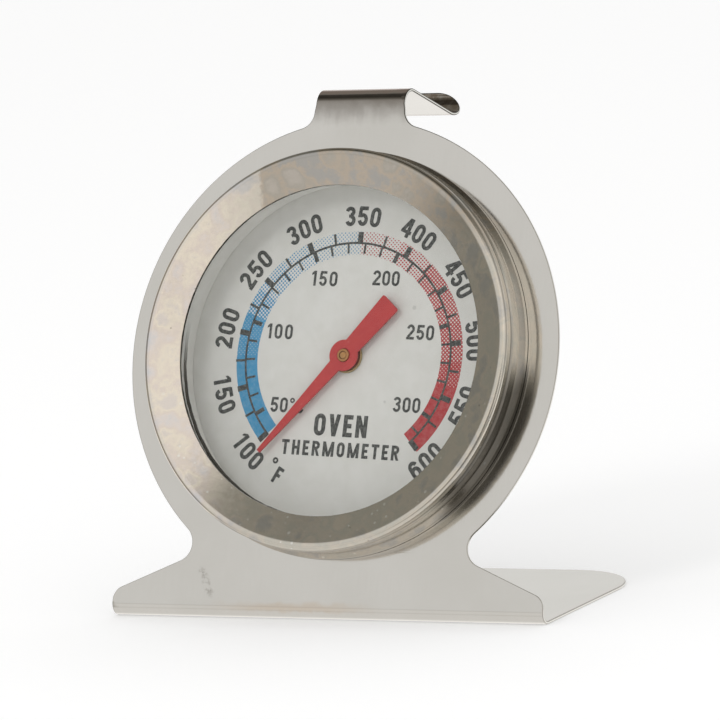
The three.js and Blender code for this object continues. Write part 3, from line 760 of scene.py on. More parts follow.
def dial_tone(graph, place):
    """The painted dial's own colour, with a faint grain and a few grey specks."""
    grain = graph.noise(place, 0.5, 5.0, 0.6)
    tone = graph.mix(graph.vary(grain), DIAL_PAINT, DIAL_SHADE)
    return graph.cover(tone, DIAL_SPECK, graph.specks(place, 0.32, 0.12), 0.35)


def dial_material():
    material, graph, place = new_material("dial_paint")
    peel = graph.noise(place, 3.0)
    rough = graph.vary(peel, 0.42, 0.55)
    return close_surface(material, graph, dial_tone(graph, place), rough, graph.bump(peel, 2e-6, 0.3))


def ink_material(name, colour):
    """Screen-printed ink, slightly uneven in cover."""
    material, graph, place = new_material(name)
    thin = graph.noise(place, 2.6, 4.0, 0.7)
    tone = graph.mix(graph.span(thin, 0.35, 0.75, 0.0, 0.18), colour, DIAL_PAINT)
    return close_surface(material, graph, tone, INK_ROUGHNESS, graph.bump(thin, 1e-6, 0.3))


# ------------------------------------------------------------------ the printed scale

SCALE_START_F = 100.0
SCALE_END_F = 600.0
SCALE_START = math.radians(222.4)
SCALE_PER_F = math.radians(-0.54)
PRINT_TILT = math.radians(-2.6)
ARC_R = 14.92
ARC_LINE = 0.28
F_TICK_R = 16.37
C_TICK_R = 13.56
F_TICK_WIDTHS = {True: 0.74, False: 0.32}
C_TICK_WIDTHS = {True: 0.56, False: 0.29}
BAND_HALF_WIDTH = 1.53
BAND_SHIFT = 0.18
BAND_OVERRUN = math.radians(1.2)
BANDS_MEET_F = 350.0
SCREEN_PITCH = 0.37
DENSITY_SPAN_F = 520.0
DENSITY_TO_LEVEL = 4.6
BEHIND_START = 0.2
BLUE_DENSITY = [(100, 1.0), (178, 0.8), (216, 0.5), (240, 0.37), (270, 0.29), (300, 0.21), (350, 0.19)]
RED_DENSITY = [(345, 0.25), (390, 0.38), (423, 0.54), (480, 0.6), (515, 0.74), (537, 1.0)]


def scale_angle(fahrenheit):
    return SCALE_START + SCALE_PER_F * (fahrenheit - SCALE_START_F)


def screened_material(name, colour, densities):
    """A colour band printed as a slanting screen of dots that thins out along the scale."""
    material, graph, place = new_material(name)
    x, _, z = axes(graph, place)
    angle = graph.math("ARCTAN2", z, x)
    gone = graph.minus(SCALE_START + BEHIND_START, angle)
    gone = graph.minus(graph.math("FLOORED_MODULO", gone, math.tau), BEHIND_START)
    heat = graph.math("DIVIDE", gone, -SCALE_PER_F * DENSITY_SPAN_F)
    stops = [((f - SCALE_START_F) / DENSITY_SPAN_F, level) for f, level in densities]
    density = graph.ramp(heat, stops, constant=True)

    step = math.tau / SCREEN_PITCH / math.sqrt(2)
    rising = graph.math("COSINE", graph.times(graph.plus(x, z), step))
    falling = graph.math("COSINE", graph.times(graph.minus(x, z), step))
    wave = graph.plus(rising, falling)
    level = graph.minus(2.0, graph.times(density, DENSITY_TO_LEVEL))
    dots = graph.span(graph.minus(wave, level), -0.4, 0.4)
    thin = graph.noise(place, 1.8, 4.0, 0.7)
    ink = graph.mix(graph.span(thin, 0.35, 0.75, 0.0, 0.12), colour, DIAL_PAINT)
    tone = graph.mix(dots, dial_tone(graph, place), ink)
    return close_surface(material, graph, tone, INK_ROUGHNESS, graph.bump(dots, 1e-6, 0.2))


BAND_LIFT = 0.002
INK_LIFT = 0.014
INK_FILM = 0.01
GLYPH_WIDTHS = {"1": 0.4, "M": 0.84, "E": 0.47, "F": 0.45, "°": 0.36, " ": 0.1}
GLYPH_WIDTH = 0.57
ROUND_SIGNS = "0123456CO°"
CURVE_STEPS = 14


def bar(left, bottom, right, top):
    return [(left, bottom), (right, bottom), (right, top), (left, top)]


def slant(x0, z0, x1, z1, width):
    """A straight stroke with level ends."""
    half = width / 2
    return [(x0 - half, z0), (x0 + half, z0), (x1 + half, z1), (x1 - half, z1)]


def bow(x, z, rx, rz, start, end):
    return arc((x, z), (rx, rz), math.radians(start), math.radians(end), CURVE_STEPS)


def ribbon(path, width, closed=False):
    """Quads of even width along a centre line."""
    path = [Vector(p) for p in path]
    last = len(path) - 1
    sides = []
    for i, here in enumerate(path):
        before = path[i - 1] if i or closed else here
        after = path[(i + 1) % len(path)] if i < last or closed else here
        run = (after - before).normalized() * width / 2
        across = Vector((-run.y, run.x))
        sides.append((here + across, here - across))
    follow = sides[1:] + (sides[:1] if closed else [])
    return [[one[1], two[1], two[0], one[0]] for one, two in zip(sides, follow)]


def sign_width(sign):
    return GLYPH_WIDTHS.get(sign, GLYPH_WIDTH)


def figure(sign, t):
    """A condensed upright figure or round capital, one unit tall, as overlapping strokes of width t."""
    width = sign_width(sign)
    middle = width / 2
    rx = middle - t / 2
    bowl = 0.315 - t / 2
    high = 1 - t / 2 - bowl
    low = t / 2 + bowl
    if sign in "0O":
        ring = bow(middle, high, rx, bowl, 0, 180) + bow(middle, low, rx, bowl, 180, 360)
        return ribbon(ring, t, closed=True)
    if sign == "1":
        flag = [(0.04, 0.7), (0.28, 0.84), (0.28, 1), (0.2, 1), (0.04, 0.84)]
        return [bar(0.2, 0, 0.2 + t, 1), flag]
    if sign == "2":
        neck = bow(middle, high, rx, bowl, 172, -25)
        return ribbon(neck + [(t / 2 + 0.02, t * 0.9)], t) + [bar(0, 0, width, t)]
    if sign == "3":
        upper = ribbon(bow(middle, 0.735, rx * 0.95, 0.265 - t / 2, 168, -80), t)
        lower = ribbon(bow(middle, 0.3, rx, 0.3 - t / 2, 80, -168), t)
        return upper + lower + [bar(middle - 0.08, 0.535 - t / 2, middle + 0.06, 0.535 + t / 3)]
    if sign == "4":
        stem = bar(0.31, 0, 0.31 + t, 1)
        return [stem, bar(0, 0.2, width + 0.02, 0.2 + 0.9 * t), slant(0.08, 0.28, 0.36, 1, t)]
    if sign == "5":
        bowl_ring = ribbon(bow(middle, 0.33, rx, 0.33 - t / 2, 132, -168), t)
        return [bar(0.08, 1 - t, width - 0.02, 1), slant(0.1, 0.44, 0.15, 0.95, t)] + bowl_ring
    if sign == "6":
        loop = bow(middle, 0.38, rx, 0.22, 0, 180) + bow(middle, low, rx, bowl, 180, 360)
        hook = [(t / 2, 0.36)] + bow(middle, high, rx, bowl, 180, 18)
        return ribbon(loop, t, closed=True) + ribbon(hook, t)
    if sign == "°":
        return ribbon(bow(middle, 0.83, 0.125, 0.125, 0, 342), t * 0.6, closed=True)
    upper = bow(middle, high, rx, bowl, 8, 180)
    return ribbon(upper + bow(middle, low, rx, bowl, 180, 352), t)


def capital(sign, t):
    """A condensed capital with stems, one unit tall, as overlapping strokes of width t."""
    width = sign_width(sign)
    middle = width / 2
    right = width - t / 2
    left_stem = bar(0, 0, t, 1)
    right_stem = bar(width - t, 0, width, 1)
    foot = bar(0, 0, width, t)
    top = bar(0, 1 - t, width, 1)
    if sign == "R":
        bulge = bow(middle, 0.71, middle - t / 2, 0.29 - t / 2, 90, -90)
        loop = [(0, 1 - t / 2)] + bulge + [(0, 0.42 + t / 2)]
        return [left_stem, slant(0.3, 0.45, right + 0.01, 0, t)] + ribbon(loop, t)
    cross = bar(0, 0.5 - t / 2, width - (0.06 if sign in "EF" else 0), 0.5 + t / 2)
    legs = [slant(t / 2, 1, middle, 0, t), slant(right, 1, middle, 0, t)]
    strokes = {
        "V": legs,
        "M": [left_stem, right_stem] + legs,
        "N": [left_stem, right_stem, slant(t / 2, 1, right, 0, t)],
        "H": [left_stem, right_stem, cross],
        "E": [left_stem, foot, top, cross],
        "F": [left_stem, top, cross],
        "T": [bar(middle - t / 2, 0, middle + t / 2, 1), top],
    }
    return strokes[sign]


def glyph(sign, t):
    return figure(sign, t) if sign in ROUND_SIGNS else capital(sign, t)


def placed(strokes, size, centre, turn):
    """Strokes scaled, turned and moved on to the dial."""
    spin = Matrix.Rotation(turn, 2)
    return [[spin @ (Vector(p) * size) + Vector(centre) for p in stroke] for stroke in strokes]


def straight_text(text, height, width, centre, weight):
    """A level line of text about a centre, its letters spaced to fill the width."""
    widths = [sign_width(sign) * height for sign in text]
    gap = (width - sum(widths)) / (len(text) - 1)
    tilt = Matrix.Rotation(PRINT_TILT, 2)
    strokes = []
    spot = -width / 2
    for sign, glyph_width in zip(text, widths):
        corner = Vector(centre) + tilt @ Vector((spot, -height / 2))
        strokes += placed(glyph(sign, weight), height, corner, PRINT_TILT)
        spot += glyph_width + gap
    return strokes


def curved_figure(sign, height, radius, angle, inward, weight):
    """One figure standing on the dial's radius, its top outwards or inwards."""
    width = sign_width(sign) * height
    turn = angle + (math.pi / 2 if inward else -math.pi / 2)
    corner = polar(radius, angle) - Matrix.Rotation(turn, 2) @ Vector((width / 2, height / 2))
    return placed(glyph(sign, weight), height, corner, turn)


def ink_solid(strokes, lift):
    """One thin printed solid from overlapping strokes, lifted off the dial's face."""
    corners = [Vector(p) for stroke in strokes for p in stroke]
    outlines = []
    start = 0
    for stroke in strokes:
        ring = list(range(start, start + len(stroke)))
        start += len(stroke)
        area = sum(corners[a].cross(corners[b]) for a, b in zip(ring, ring[1:] + ring[:1]))
        outlines.append(ring if area > 0 else ring[::-1])
    points, _, triangles, _, _, sources = delaunay_2d_cdt(corners, [], outlines, 1, SAME_POINT)
    inked = [triangle for triangle, source in zip(triangles, sources) if source]
    sides = [side for one in inked for side in zip(one, one[1:] + one[:1])]
    shared = {(b, a) for a, b in sides}
    bm = bmesh.new()
    depths = (DIAL.front - lift, DIAL.front - lift - INK_FILM)
    near, far = ([bm.verts.new((p.x, y, p.y)) for p in points] for y in depths)
    for layer in (near, far):
        for triangle in inked:
            bm.faces.new([layer[i] for i in triangle])
    for a, b in sides:
        if (a, b) not in shared:
            bm.faces.new((near[a], near[b], far[b], far[a]))
    bmesh.ops.delete(bm, geom=[v for v in bm.verts if not v.link_faces], context="VERTS")
    return bm


def ring_stroke(inner, outer, start, end, x=0.0):
    """Quads between two radii, from one angle to another."""
    count = max(1, math.ceil(abs(end - start) / PRINT_STEP))
    turns = [start + (end - start) * i / count for i in range(count + 1)]
    return [[polar(inner, a, x), polar(outer, a, x), polar(outer, b, x), polar(inner, b, x)]
            for a, b in zip(turns, turns[1:])]


def tick(fahrenheit, inner, outer, width):
    angle = scale_angle(fahrenheit)
    along = polar(1.0, angle)
    side = Vector((-along.y, along.x)) * width / 2
    return [along * inner - side, along * outer - side, along * outer + side, along * inner + side]


def scale_strokes():
    """The fine arc with Fahrenheit ticks outside it and Celsius ticks inside it."""
    start = SCALE_START
    end = scale_angle(SCALE_END_F)
    strokes = ring_stroke(ARC_R - ARC_LINE / 2, ARC_R + ARC_LINE / 2, start, end)
    for fahrenheit in range(int(SCALE_START_F), int(SCALE_END_F) + 1, 25):
        thick = fahrenheit % 50 == 0
        strokes.append(tick(fahrenheit, ARC_R - ARC_LINE / 2, F_TICK_R, F_TICK_WIDTHS[thick]))
    for celsius in range(50, 311, 10):
        thick = celsius % 50 == 0
        strokes.append(tick(celsius * 1.8 + 32, C_TICK_R, ARC_R, C_TICK_WIDTHS[thick]))
    return strokes


F_FIGURE_R = 18.45
F_FIGURE_HEIGHT = 2.6
F_FIGURE_STEP = 1.85
F_FIGURES = range(100, 601, 50)
F_WEIGHT = 0.195
TOPS_INWARD_BELOW_F = 175
TOPS_INWARD_ABOVE_F = 525
UNIT_MARK = (("°", 2.3, 17.35, 235.4), ("F", 2.25, 18.0, 240.2))


def fahrenheit_strokes():
    """Figures at every 50 degrees, curved round the scale, and the unit's mark beside the first."""
    strokes = []
    step = F_FIGURE_STEP / F_FIGURE_R
    for fahrenheit in F_FIGURES:
        inward = fahrenheit < TOPS_INWARD_BELOW_F or fahrenheit > TOPS_INWARD_ABOVE_F
        for place, sign in enumerate(str(fahrenheit), -1):
            angle = scale_angle(fahrenheit) + place * (step if inward else -step)
            strokes += curved_figure(sign, F_FIGURE_HEIGHT, F_FIGURE_R, angle, inward, F_WEIGHT)
    for sign, height, radius, degrees in UNIT_MARK:
        strokes += curved_figure(sign, height, radius, math.radians(degrees), True, F_WEIGHT)
    return strokes


C_FIGURE_HEIGHT = 1.97
C_WEIGHT = 0.175
TITLE_WEIGHT = 0.2
C_FIGURES = {
    "50°C": (4.9, (-8.3, -6.4)),
    "100": (3.85, (-10.2, 3.3)),
    "150": (3.85, (-4.2, 10.25)),
    "200": (3.9, (4.85, 10.25)),
    "250": (3.95, (10.35, 3.15)),
    "300": (3.95, (9.1, -6.3)),
}


def celsius_strokes():
    strokes = []
    for text, (width, centre) in C_FIGURES.items():
        strokes += straight_text(text, C_FIGURE_HEIGHT, width, centre, C_WEIGHT)
    return strokes


def title_strokes():
    """What the instrument is, in plain capitals."""
    upper = straight_text("OVEN", height=2.9, width=7.75, centre=(-0.25, -9.05), weight=TITLE_WEIGHT)
    lower = straight_text("THERMOMETER", height=1.95, width=17.2, centre=(-0.1, -12.2), weight=TITLE_WEIGHT)
    return upper + lower


# ------------------------------------------------------------------ the folded stand

Leg = namedtuple("Leg", "reached length start heading radius turn")


def fold_steps():
    """The sheet's outer face from the foot's rear edge to the tongue's tip: a bend's radius and its turn,
    or a straight run's length and no turn."""
    foot_turn = math.pi / 2 + LEAN
    setback = FOOT_FOLD_R * math.tan(foot_turn / 2)
    plate_run = FOLD_BELOW_AXIS + CREST_ABOVE_AXIS - setback - CREST_FOLD_R
    return [
        (FOOT_LENGTH - setback, 0.0),
        (FOOT_FOLD_R, -foot_turn),
        (plate_run, 0.0),
        (CREST_FOLD_R, -HOOK_TURN),
        (HOOK_RUN, 0.0),
        (CURL_R, CURL_TURN),
    ]


class FoldedPath:
    """Maps a place along the flat sheet to its place in the folded sheet."""

    def __init__(self):
        start = polar(FOOT_LENGTH, LEAN) - Vector((0.0, FOLD_BELOW_AXIS))
        heading = math.pi + LEAN
        self.legs = []
        self.length = 0.0
        for size, turn in fold_steps():
            length = size * abs(turn) if turn else size
            leg = Leg(self.length, length, start, heading, size, turn)
            self.legs.append(leg)
            self.length += length
            start, heading = self.along(leg, length, 0.0)

    @staticmethod
    def along(leg, travel, depth):
        """The folded place and the heading at a travel along a leg and a depth into the sheet."""
        heading = leg.heading
        inward = Vector((math.sin(heading), -math.cos(heading)))
        if not leg.turn:
            return leg.start + polar(travel, heading) + inward * depth, heading
        side = 1 if leg.turn < 0 else -1
        centre = leg.start + inward * side * leg.radius
        heading += leg.turn * travel / leg.length
        inward = Vector((math.sin(heading), -math.cos(heading)))
        return centre - inward * side * (leg.radius - side * depth), heading

    def place(self, s, depth):
        """The folded (y, z) of a point at s along the flat sheet and a depth into it."""
        leg = next((leg for leg in reversed(self.legs) if s >= leg.reached), self.legs[0])
        return self.along(leg, s - leg.reached, depth)[0]

    def cuts(self):
        """Where the flat sheet needs an edge across it to fold smoothly."""
        for leg in self.legs:
            count = max(1, math.ceil(abs(leg.turn) / BEND_STEP))
            for i in range(count):
                s = leg.reached + leg.length * i / count
                if s > 0:
                    yield s


PATH = FoldedPath()
_, FOLD, PLATE_RUN, CREST, _, CURL = PATH.legs
# Places along the flat sheet: the middle of the foot's fold, and level with the pointer's axis.
FOLD_S = FOLD.reached + FOLD.length / 2
PLATE_S = PLATE_RUN.reached - PLATE_RUN.start.y


def waist(side_x):
    """The shoulder's slope, and the centres of its waist fillet and its corner, at plate heights."""
    up = Vector((math.sin(SHOULDER_SLOPE), math.cos(SHOULDER_SLOPE)))
    along = Vector((up.y, -up.x))
    line = Vector((side_x, FOOT_END_HEIGHT - FOLD_BELOW_AXIS)).dot(up)
    rise = line + WAIST_FILLET_R
    reach = math.sqrt((DISC_R + WAIST_FILLET_R) ** 2 - rise**2)
    centre = up * rise + along * reach
    corner_x = side_x - SHOULDER_CORNER_R
    corner = Vector((corner_x, (line - SHOULDER_CORNER_R - corner_x * up.x) / up.y))
    return up, centre, corner


def flat_outline():
    """The whole sheet before folding, counter-clockwise, as (x, distance along the sheet)."""
    up, centre, corner = waist(FOOT_HALF_WIDTH)
    tilt = math.atan2(up.y, up.x)
    low = math.atan2(centre.y, centre.x)
    neck_x = NECK_HALF_WIDTH + NECK_FILLET_R
    neck = Vector((neck_x, math.sqrt((DISC_R + NECK_FILLET_R) ** 2 - neck_x**2)))
    high = math.atan2(neck.y, neck.x)
    rear = FOOT_REAR_CORNER_R
    tongue_x, tongue_s = TONGUE_CORNER
    quarter = math.pi / 2

    foot = arc((FOOT_HALF_WIDTH - rear, rear), rear, -quarter, 0.0, steps=24)
    plate = arc(corner, SHOULDER_CORNER_R, 0.0, tilt, steps=10)
    plate += arc(centre, WAIST_FILLET_R, tilt + math.pi, low + math.pi, steps=16)[:-1]
    plate += arc((0.0, 0.0), DISC_R, low, high, steps=96)
    plate += arc(neck, NECK_FILLET_R, high + math.pi, math.pi, steps=12)[1:]
    plate.append(Vector((HOOK_HALF_WIDTH, CREST_ABOVE_AXIS - CREST_FOLD_R)))
    plate = [p + Vector((0.0, PLATE_S)) for p in plate]
    tip = (HOOK_HALF_WIDTH - tongue_x, PATH.length - tongue_s)
    tongue = arc(tip, TONGUE_CORNER, 0.0, quarter, steps=16)
    right = foot + plate + tongue
    left = [Vector((-p.x, p.y)) for p in reversed(right)]
    return right + left


def stand_mesh():
    """The flat blank with rounded edges, folded into the foot, the plate and the hook."""
    hole = circle(CASE_HOLE_R, 0.0, PLATE_S, TURN_STEPS, hole=True)
    bm = bmesh.new()
    slab_into(bm, [flat_outline(), hole], 0.0, SHEET, STAND_RIM)
    for s in PATH.cuts():
        everything = bm.verts[:] + bm.edges[:] + bm.faces[:]
        bmesh.ops.bisect_plane(bm, geom=everything, plane_co=(0.0, 0.0, s), plane_no=(0.0, 0.0, 1.0))
    flat = bm.verts.layers.float_vector.new("flat_place")
    for vert in bm.verts:
        x, depth, s = vert.co
        vert[flat] = (x, s, depth)
        y, z = PATH.place(s, depth)
        vert.co = (x, y, z)
    return bm


# ------------------------------------------------------------------ case, bezel, window and dial


def case_mesh():
    """Drawn cup: barrel, stop bead, dial step, drum, and a back pierced for vents and two rivets."""
    wall = CASE_WALL
    back = BACK_CUP.back
    flat_r = DRUM_R - CASE_CORNER_R - BACK_MARGIN
    step_back = DIAL_SEAT + wall
    profile = rounded(
        [
            (flat_r, back - wall, 0),
            (DRUM_R - wall, back - wall, CASE_CORNER_R - wall),
            (DRUM_R - wall, DIAL_SEAT, 0.2),
            (BARREL_R - wall, DIAL_SEAT, 0.1),
            (BARREL_R - wall, BACK_CUP.front, 0.08),
            (BARREL_R, BACK_CUP.front, 0.08),
            (BARREL_R, BEAD_FRONT, 0.15),
            (BACK_CUP.radius, BEAD_FRONT, 0.4),
            (BACK_CUP.radius, BEAD_BACK, 0.4),
            (BARREL_R, BEAD_BACK, 0.15),
            (BARREL_R, step_back, 0.35),
            (DRUM_R, step_back, 0.15),
            (DRUM_R, back, CASE_CORNER_R),
            (flat_r, back, 0),
        ],
        closed=False,
    )
    bm = bmesh.new()
    lathe_into(bm, profile, TURN_STEPS, closed=False)
    outline = circle(flat_r, segments=TURN_STEPS)
    holes = [circle(BACK_CUP.bore, hole=True)]
    for i in range(VENT_COUNT):
        spot = polar(VENT_CIRCLE_R, math.pi / 6 + math.tau * i / VENT_COUNT)
        holes.append(circle(VENT_R, spot.x, spot.y, hole=True))
    for x in (-RIVET_X, RIVET_X):
        holes.append(circle(RIVET_SHANK_R + RIVET_PLAY, x, 0.0, hole=True))
    slab_into(bm, [outline] + holes, back - wall, back, VENT_RIM, flush=(0,))
    bmesh.ops.remove_doubles(bm, verts=bm.verts, dist=SEAM_REACH)
    return bm


def bezel_mesh():
    """Pressed ring: a sharp lip, a dished face, a rolled shoulder with a fine groove under it, a wall
    and a flared skirt."""
    t = BEZEL_SHEET
    crown = BEZEL.front
    skirt_r = BEZEL.radius
    skirt_back = BEZEL.back
    outer = rounded(
        [
            (BEZEL.bore, LIP_FRONT, 0),
            (CROWN_R, crown, 1.2),
            (WALL_R + 0.03, crown + 0.05, ROLL_R),
            (WALL_R + 0.02, GROOVE_Y - 0.35, 0.12),
            (WALL_R - GROOVE_DEPTH, GROOVE_Y, 0.12),
            (WALL_R + 0.04, GROOVE_Y + 0.5, 0.3),
            (WALL_R - 0.03, FLARE_Y, 0.8),
            (skirt_r, FLARE_Y + 1.0, 0.3),
            (skirt_r, skirt_back, 0.12),
        ],
        closed=False,
    )
    inner = rounded(
        [
            (skirt_r - t, skirt_back, 0),
            (skirt_r - t, FLARE_Y + 0.9, 0.2),
            (WALL_R - t, FLARE_Y, 0.4),
            (WALL_R - t, crown + t + 0.1, 0.2),
            (CROWN_R, crown + t, 0.2),
            (BEZEL.bore, LIP_FRONT + t, 0),
        ],
        closed=False,
    )
    return lathe(outer + inner)


def lens_mesh():
    return plug(LENS, LENS_CHAMFER, TURN_STEPS)


def spacer_mesh():
    step = SPACER.front + SPACER_WALL
    fillets = (0.12, 0.1, 0.1, 0.2, 0.1, 0.1)
    back_r = SPACER.bore + SPACER_WALL
    return stepped_ring(SPACER, SPACER.radius, step, back_r, fillets, TURN_STEPS)


def dial_mesh():
    loops = [circle(DIAL.radius, segments=TURN_STEPS), circle(DIAL.bore, hole=True)]
    return slab(loops, DIAL.front, DIAL.back, DIAL_RIM)


def bush_mesh():
    fillets = (0.05, 0.15, 0.05, 0.03, 0.08, 0.05)
    barrel = DIAL.bore - BUSH_PLAY
    return stepped_ring(BUSH, BUSH.radius, DIAL.front - BUSH_LIFT, barrel, fillets)


def rivet_mesh(x, front, back):
    """A back-plate rivet: a low head inside, a shank, and a domed head behind."""
    grip_front = front + RIVET_HEAD_HEIGHT
    grip_back = back - RIVET_HEAD_HEIGHT
    profile = rounded(
        [
            (0.0, front, 0),
            (RIVET_HEAD_R, front, 0.12),
            (RIVET_HEAD_R, grip_front, 0.05),
            (RIVET_SHANK_R, grip_front, 0.04),
            (RIVET_SHANK_R, grip_back, 0.04),
            (RIVET_HEAD_R, grip_back, 0.05),
        ],
        closed=False,
    )
    dome = (RIVET_HEAD_R, RIVET_HEAD_HEIGHT)
    profile += arc((0.0, grip_back), dome, 0.0, math.pi / 2, steps=10)[1:]
    bm = lathe(profile, SMALL_TURN_STEPS, closed=False)
    bm.transform(Matrix.Translation((x, 0.0, 0.0)))
    return bm


# ------------------------------------------------------------------ pointer and movement


def pointer_mesh():
    """Thin painted blade: a taper to the tip, a round hub and a flared tail, pierced for the collet."""
    half = POINTER_HALF_WIDTHS
    hub = POINTER_HUB_R
    corner = POINTER_TAIL_CORNER
    root = math.asin(half["root"] / hub)
    tail = math.asin(half["tail root"] / hub)
    quarter = math.pi / 2
    outline = [Vector((POINTER_REACH, -half["tip"])), Vector((POINTER_REACH, half["tip"]))]
    outline += arc((0.0, 0.0), hub, root, math.pi - tail, steps=20)
    end = Vector((corner - POINTER_TAIL, half["tail end"] - corner))
    outline += arc(end, corner, quarter, math.pi, steps=5)
    outline += arc((end.x, -end.y), corner, math.pi, 3 * quarter, steps=5)
    outline += arc((0.0, 0.0), hub, math.pi + tail, math.tau - root, steps=20)
    loops = [outline, circle(COLLET_R + SEAT_GAP, hole=True)]
    bm = slab(loops, POINTER.front, POINTER.back, POINTER_RIM)
    bm.transform(Matrix.Rotation(-POINTER_ANGLE, 4, "Y"))
    return bm


def collet_mesh():
    fillets = (0.03, 0.12, 0.03, 0.06, 0.06, 0.03)
    step = POINTER.back + SEAT_GAP
    return stepped_ring(COLLET, COLLET_R, step, COLLET.radius, fillets)


def staff_mesh():
    return plug(STAFF, 0.12, SMALL_TURN_STEPS)


def coil_mesh():
    """Flat spiral of thin strip on edge, with a straight tail."""
    pitch = (COIL_OUTER_R - COIL_INNER_R) / COIL_TURNS
    steps = COIL_TURNS * SMALL_TURN_STEPS
    turns = [COIL_TURNS * i / steps for i in range(steps + 1)]
    middle = [(COIL_INNER_R + pitch * turn, math.tau * turn) for turn in turns]
    outside = [polar(r + COIL_STRIP / 2, a) for r, a in middle]
    inside = [polar(r - COIL_STRIP / 2, a) for r, a in middle]
    tail = Vector((0.0, COIL_TAIL))
    outside.append(outside[-1] + tail)
    inside.append(inside[-1] + tail)
    return slab([outside + inside[::-1]], COIL.front, COIL.back, COIL_RIM)


CAD_WELD = 1e-3
CAD_BEVEL = 0.05


def dress_cad_node(name, material):
    """A CAD piece that stays as it is, with softened edges and its own finish."""
    node = frame["nodes"][name]
    node.data.materials.clear()
    node.data.materials.append(material)
    weld = node.modifiers.new("shared_corners", "WELD")
    weld.merge_threshold = CAD_WELD * MM
    bevel = node.modifiers.new("soft_edges", "BEVEL")
    bevel.width = CAD_BEVEL * MM
    bevel.segments = 2
    bevel.limit_method = "ANGLE"
    bevel.angle_limit = SHARP
    bevel.harden_normals = False
    even = node.modifiers.new("even_normals", "WEIGHTED_NORMAL")
    even.keep_sharp = True


# ------------------------------------------------------------------ assembly of the looks


def add_stand():
    material = stand_material(FOLD.reached, FOLD_S, PLATE_S, CREST.reached, CURL.reached)
    add_piece("folded_stand", stand_mesh(), CASE, "stand_steel", material, "stand_plate")


def add_case():
    steel = metal("drawn_case_steel")
    zinc = metal("rivet_steel")
    white = paint("spacer_white")
    add_piece("case_cup", case_mesh(), CASE, "case_steel", steel, "rear_case")
    add_piece("bezel_shell", bezel_mesh(), CASE, "bezel_steel", bezel_material(), "bezel_ring")
    add_piece("lens_window", lens_mesh(), CASE, "lens", glass_material(), "lens_glass")
    add_piece("dial_spacer", spacer_mesh(), CASE, "case_steel", white, "dial_spacer_ring")
    for side, x in (("left", -RIVET_X), ("right", RIVET_X)):
        node = Extent("bridge_rivet_" + side)
        rivet = rivet_mesh(x, node.front, node.back)
        add_piece("back_rivet_" + side, rivet, CASE, "case_steel", zinc, "bridge_rivet_" + side)


def add_dial():
    add_piece("dial_disc", dial_mesh(), CASE, "dial_face", dial_material(), "dial_plate")
    black = ink_material("black_ink", PRINT_BLACK)
    blue = screened_material("blue_screened_ink", PRINT_BLUE, BLUE_DENSITY)
    red = screened_material("red_screened_ink", PRINT_RED, RED_DENSITY)
    low, high = ARC_R - BAND_HALF_WIDTH, ARC_R + BAND_HALF_WIDTH
    halfway = scale_angle(BANDS_MEET_F)
    end = scale_angle(SCALE_END_F) - BAND_OVERRUN
    bands = {
        "cool_band": (ring_stroke(low, high, SCALE_START, halfway, BAND_SHIFT), blue),
        "hot_band": (ring_stroke(low, high, halfway, end, BAND_SHIFT), red),
    }
    for name, (strokes, ink) in bands.items():
        add_piece(name, ink_solid(strokes, BAND_LIFT), CASE, "dial_face", ink)
    prints = {
        "scale_ticks": scale_strokes(),
        "fahrenheit_figures": fahrenheit_strokes(),
        "celsius_figures": celsius_strokes(),
        "dial_title": title_strokes(),
    }
    for name, strokes in prints.items():
        add_piece(name, ink_solid(strokes, INK_LIFT), CASE, "dial_face", black)


def add_pointer():
    brass = metal("pin_brass")
    add_piece("dial_bush", bush_mesh(), CASE, "brass", metal("bush_brass"), "dial_bushing")
    add_piece("pointer_blade", pointer_mesh(), SHAFT, "pointer_red", paint("red_enamel"), "pointer")
    add_piece("pointer_collar", collet_mesh(), SHAFT, "brass", brass, "pointer_collet")
    add_piece("pointer_shaft_pin", staff_mesh(), SHAFT, "shaft_steel", metal("staff_metal"), "pointer_staff")


STEEL_INSIDE = ("bearing_bridge", "coil_anchor_post")
BRASS_INSIDE = (
    "bushing_washer",
    "staff_washer",
    "coil_hub",
    "coil_anchor_rivet",
    "post_rivet",
    "pivot_bush",
)


def add_movement():
    add_piece("coil_spring", coil_mesh(), CASE, "bimetal", metal("bimetal_strip"), "bimetal_coil")
    steel = metal("bracket_steel")
    brass = metal("turned_brass")
    for name in STEEL_INSIDE:
        dress_cad_node(name, steel)
    for name in BRASS_INSIDE:
        dress_cad_node(name, brass)


# ------------------------------------------------------------------ studio

# The camera's direction and roll are measured in the plate frame.
CAMERA_AZIMUTH = 27.68
CAMERA_ELEVATION = -7.72
CAMERA_ROLL = math.radians(4.12)
CAMERA_DISTANCE = 796.4
CAMERA_AIM = (2.725, -0.03, -0.70)
CAMERA_LENS = 308.6
SENSOR = 36.0


def backward(azimuth, elevation):
    """Unit vector from the object towards a place in front of it, with azimuth to the right."""
    a, e = math.radians(azimuth), math.radians(elevation)
    return Vector((math.sin(a) * math.cos(e), -math.cos(a) * math.cos(e), math.sin(e)))


def add_camera():
    """A long lens in front and to the right of the dial, slightly below its axis."""
    data = bpy.data.cameras.new("camera")
    data.lens = CAMERA_LENS
    data.sensor_width = SENSOR
    data.clip_start = 0.05
    data.clip_end = 50.0
    camera = link_object("camera", data)
    back = backward(CAMERA_AZIMUTH, CAMERA_ELEVATION)
    look = (-back).to_track_quat("-Z", "Y").to_matrix() @ Matrix.Rotation(CAMERA_ROLL, 3, "Z")
    turn = PLATE.to_3x3().normalized() @ look
    spot = PLATE @ (Vector(CAMERA_AIM) + back * CAMERA_DISTANCE)
    camera.matrix_world = Matrix.Translation(spot) @ turn.to_4x4()
    bpy.context.scene.camera = camera


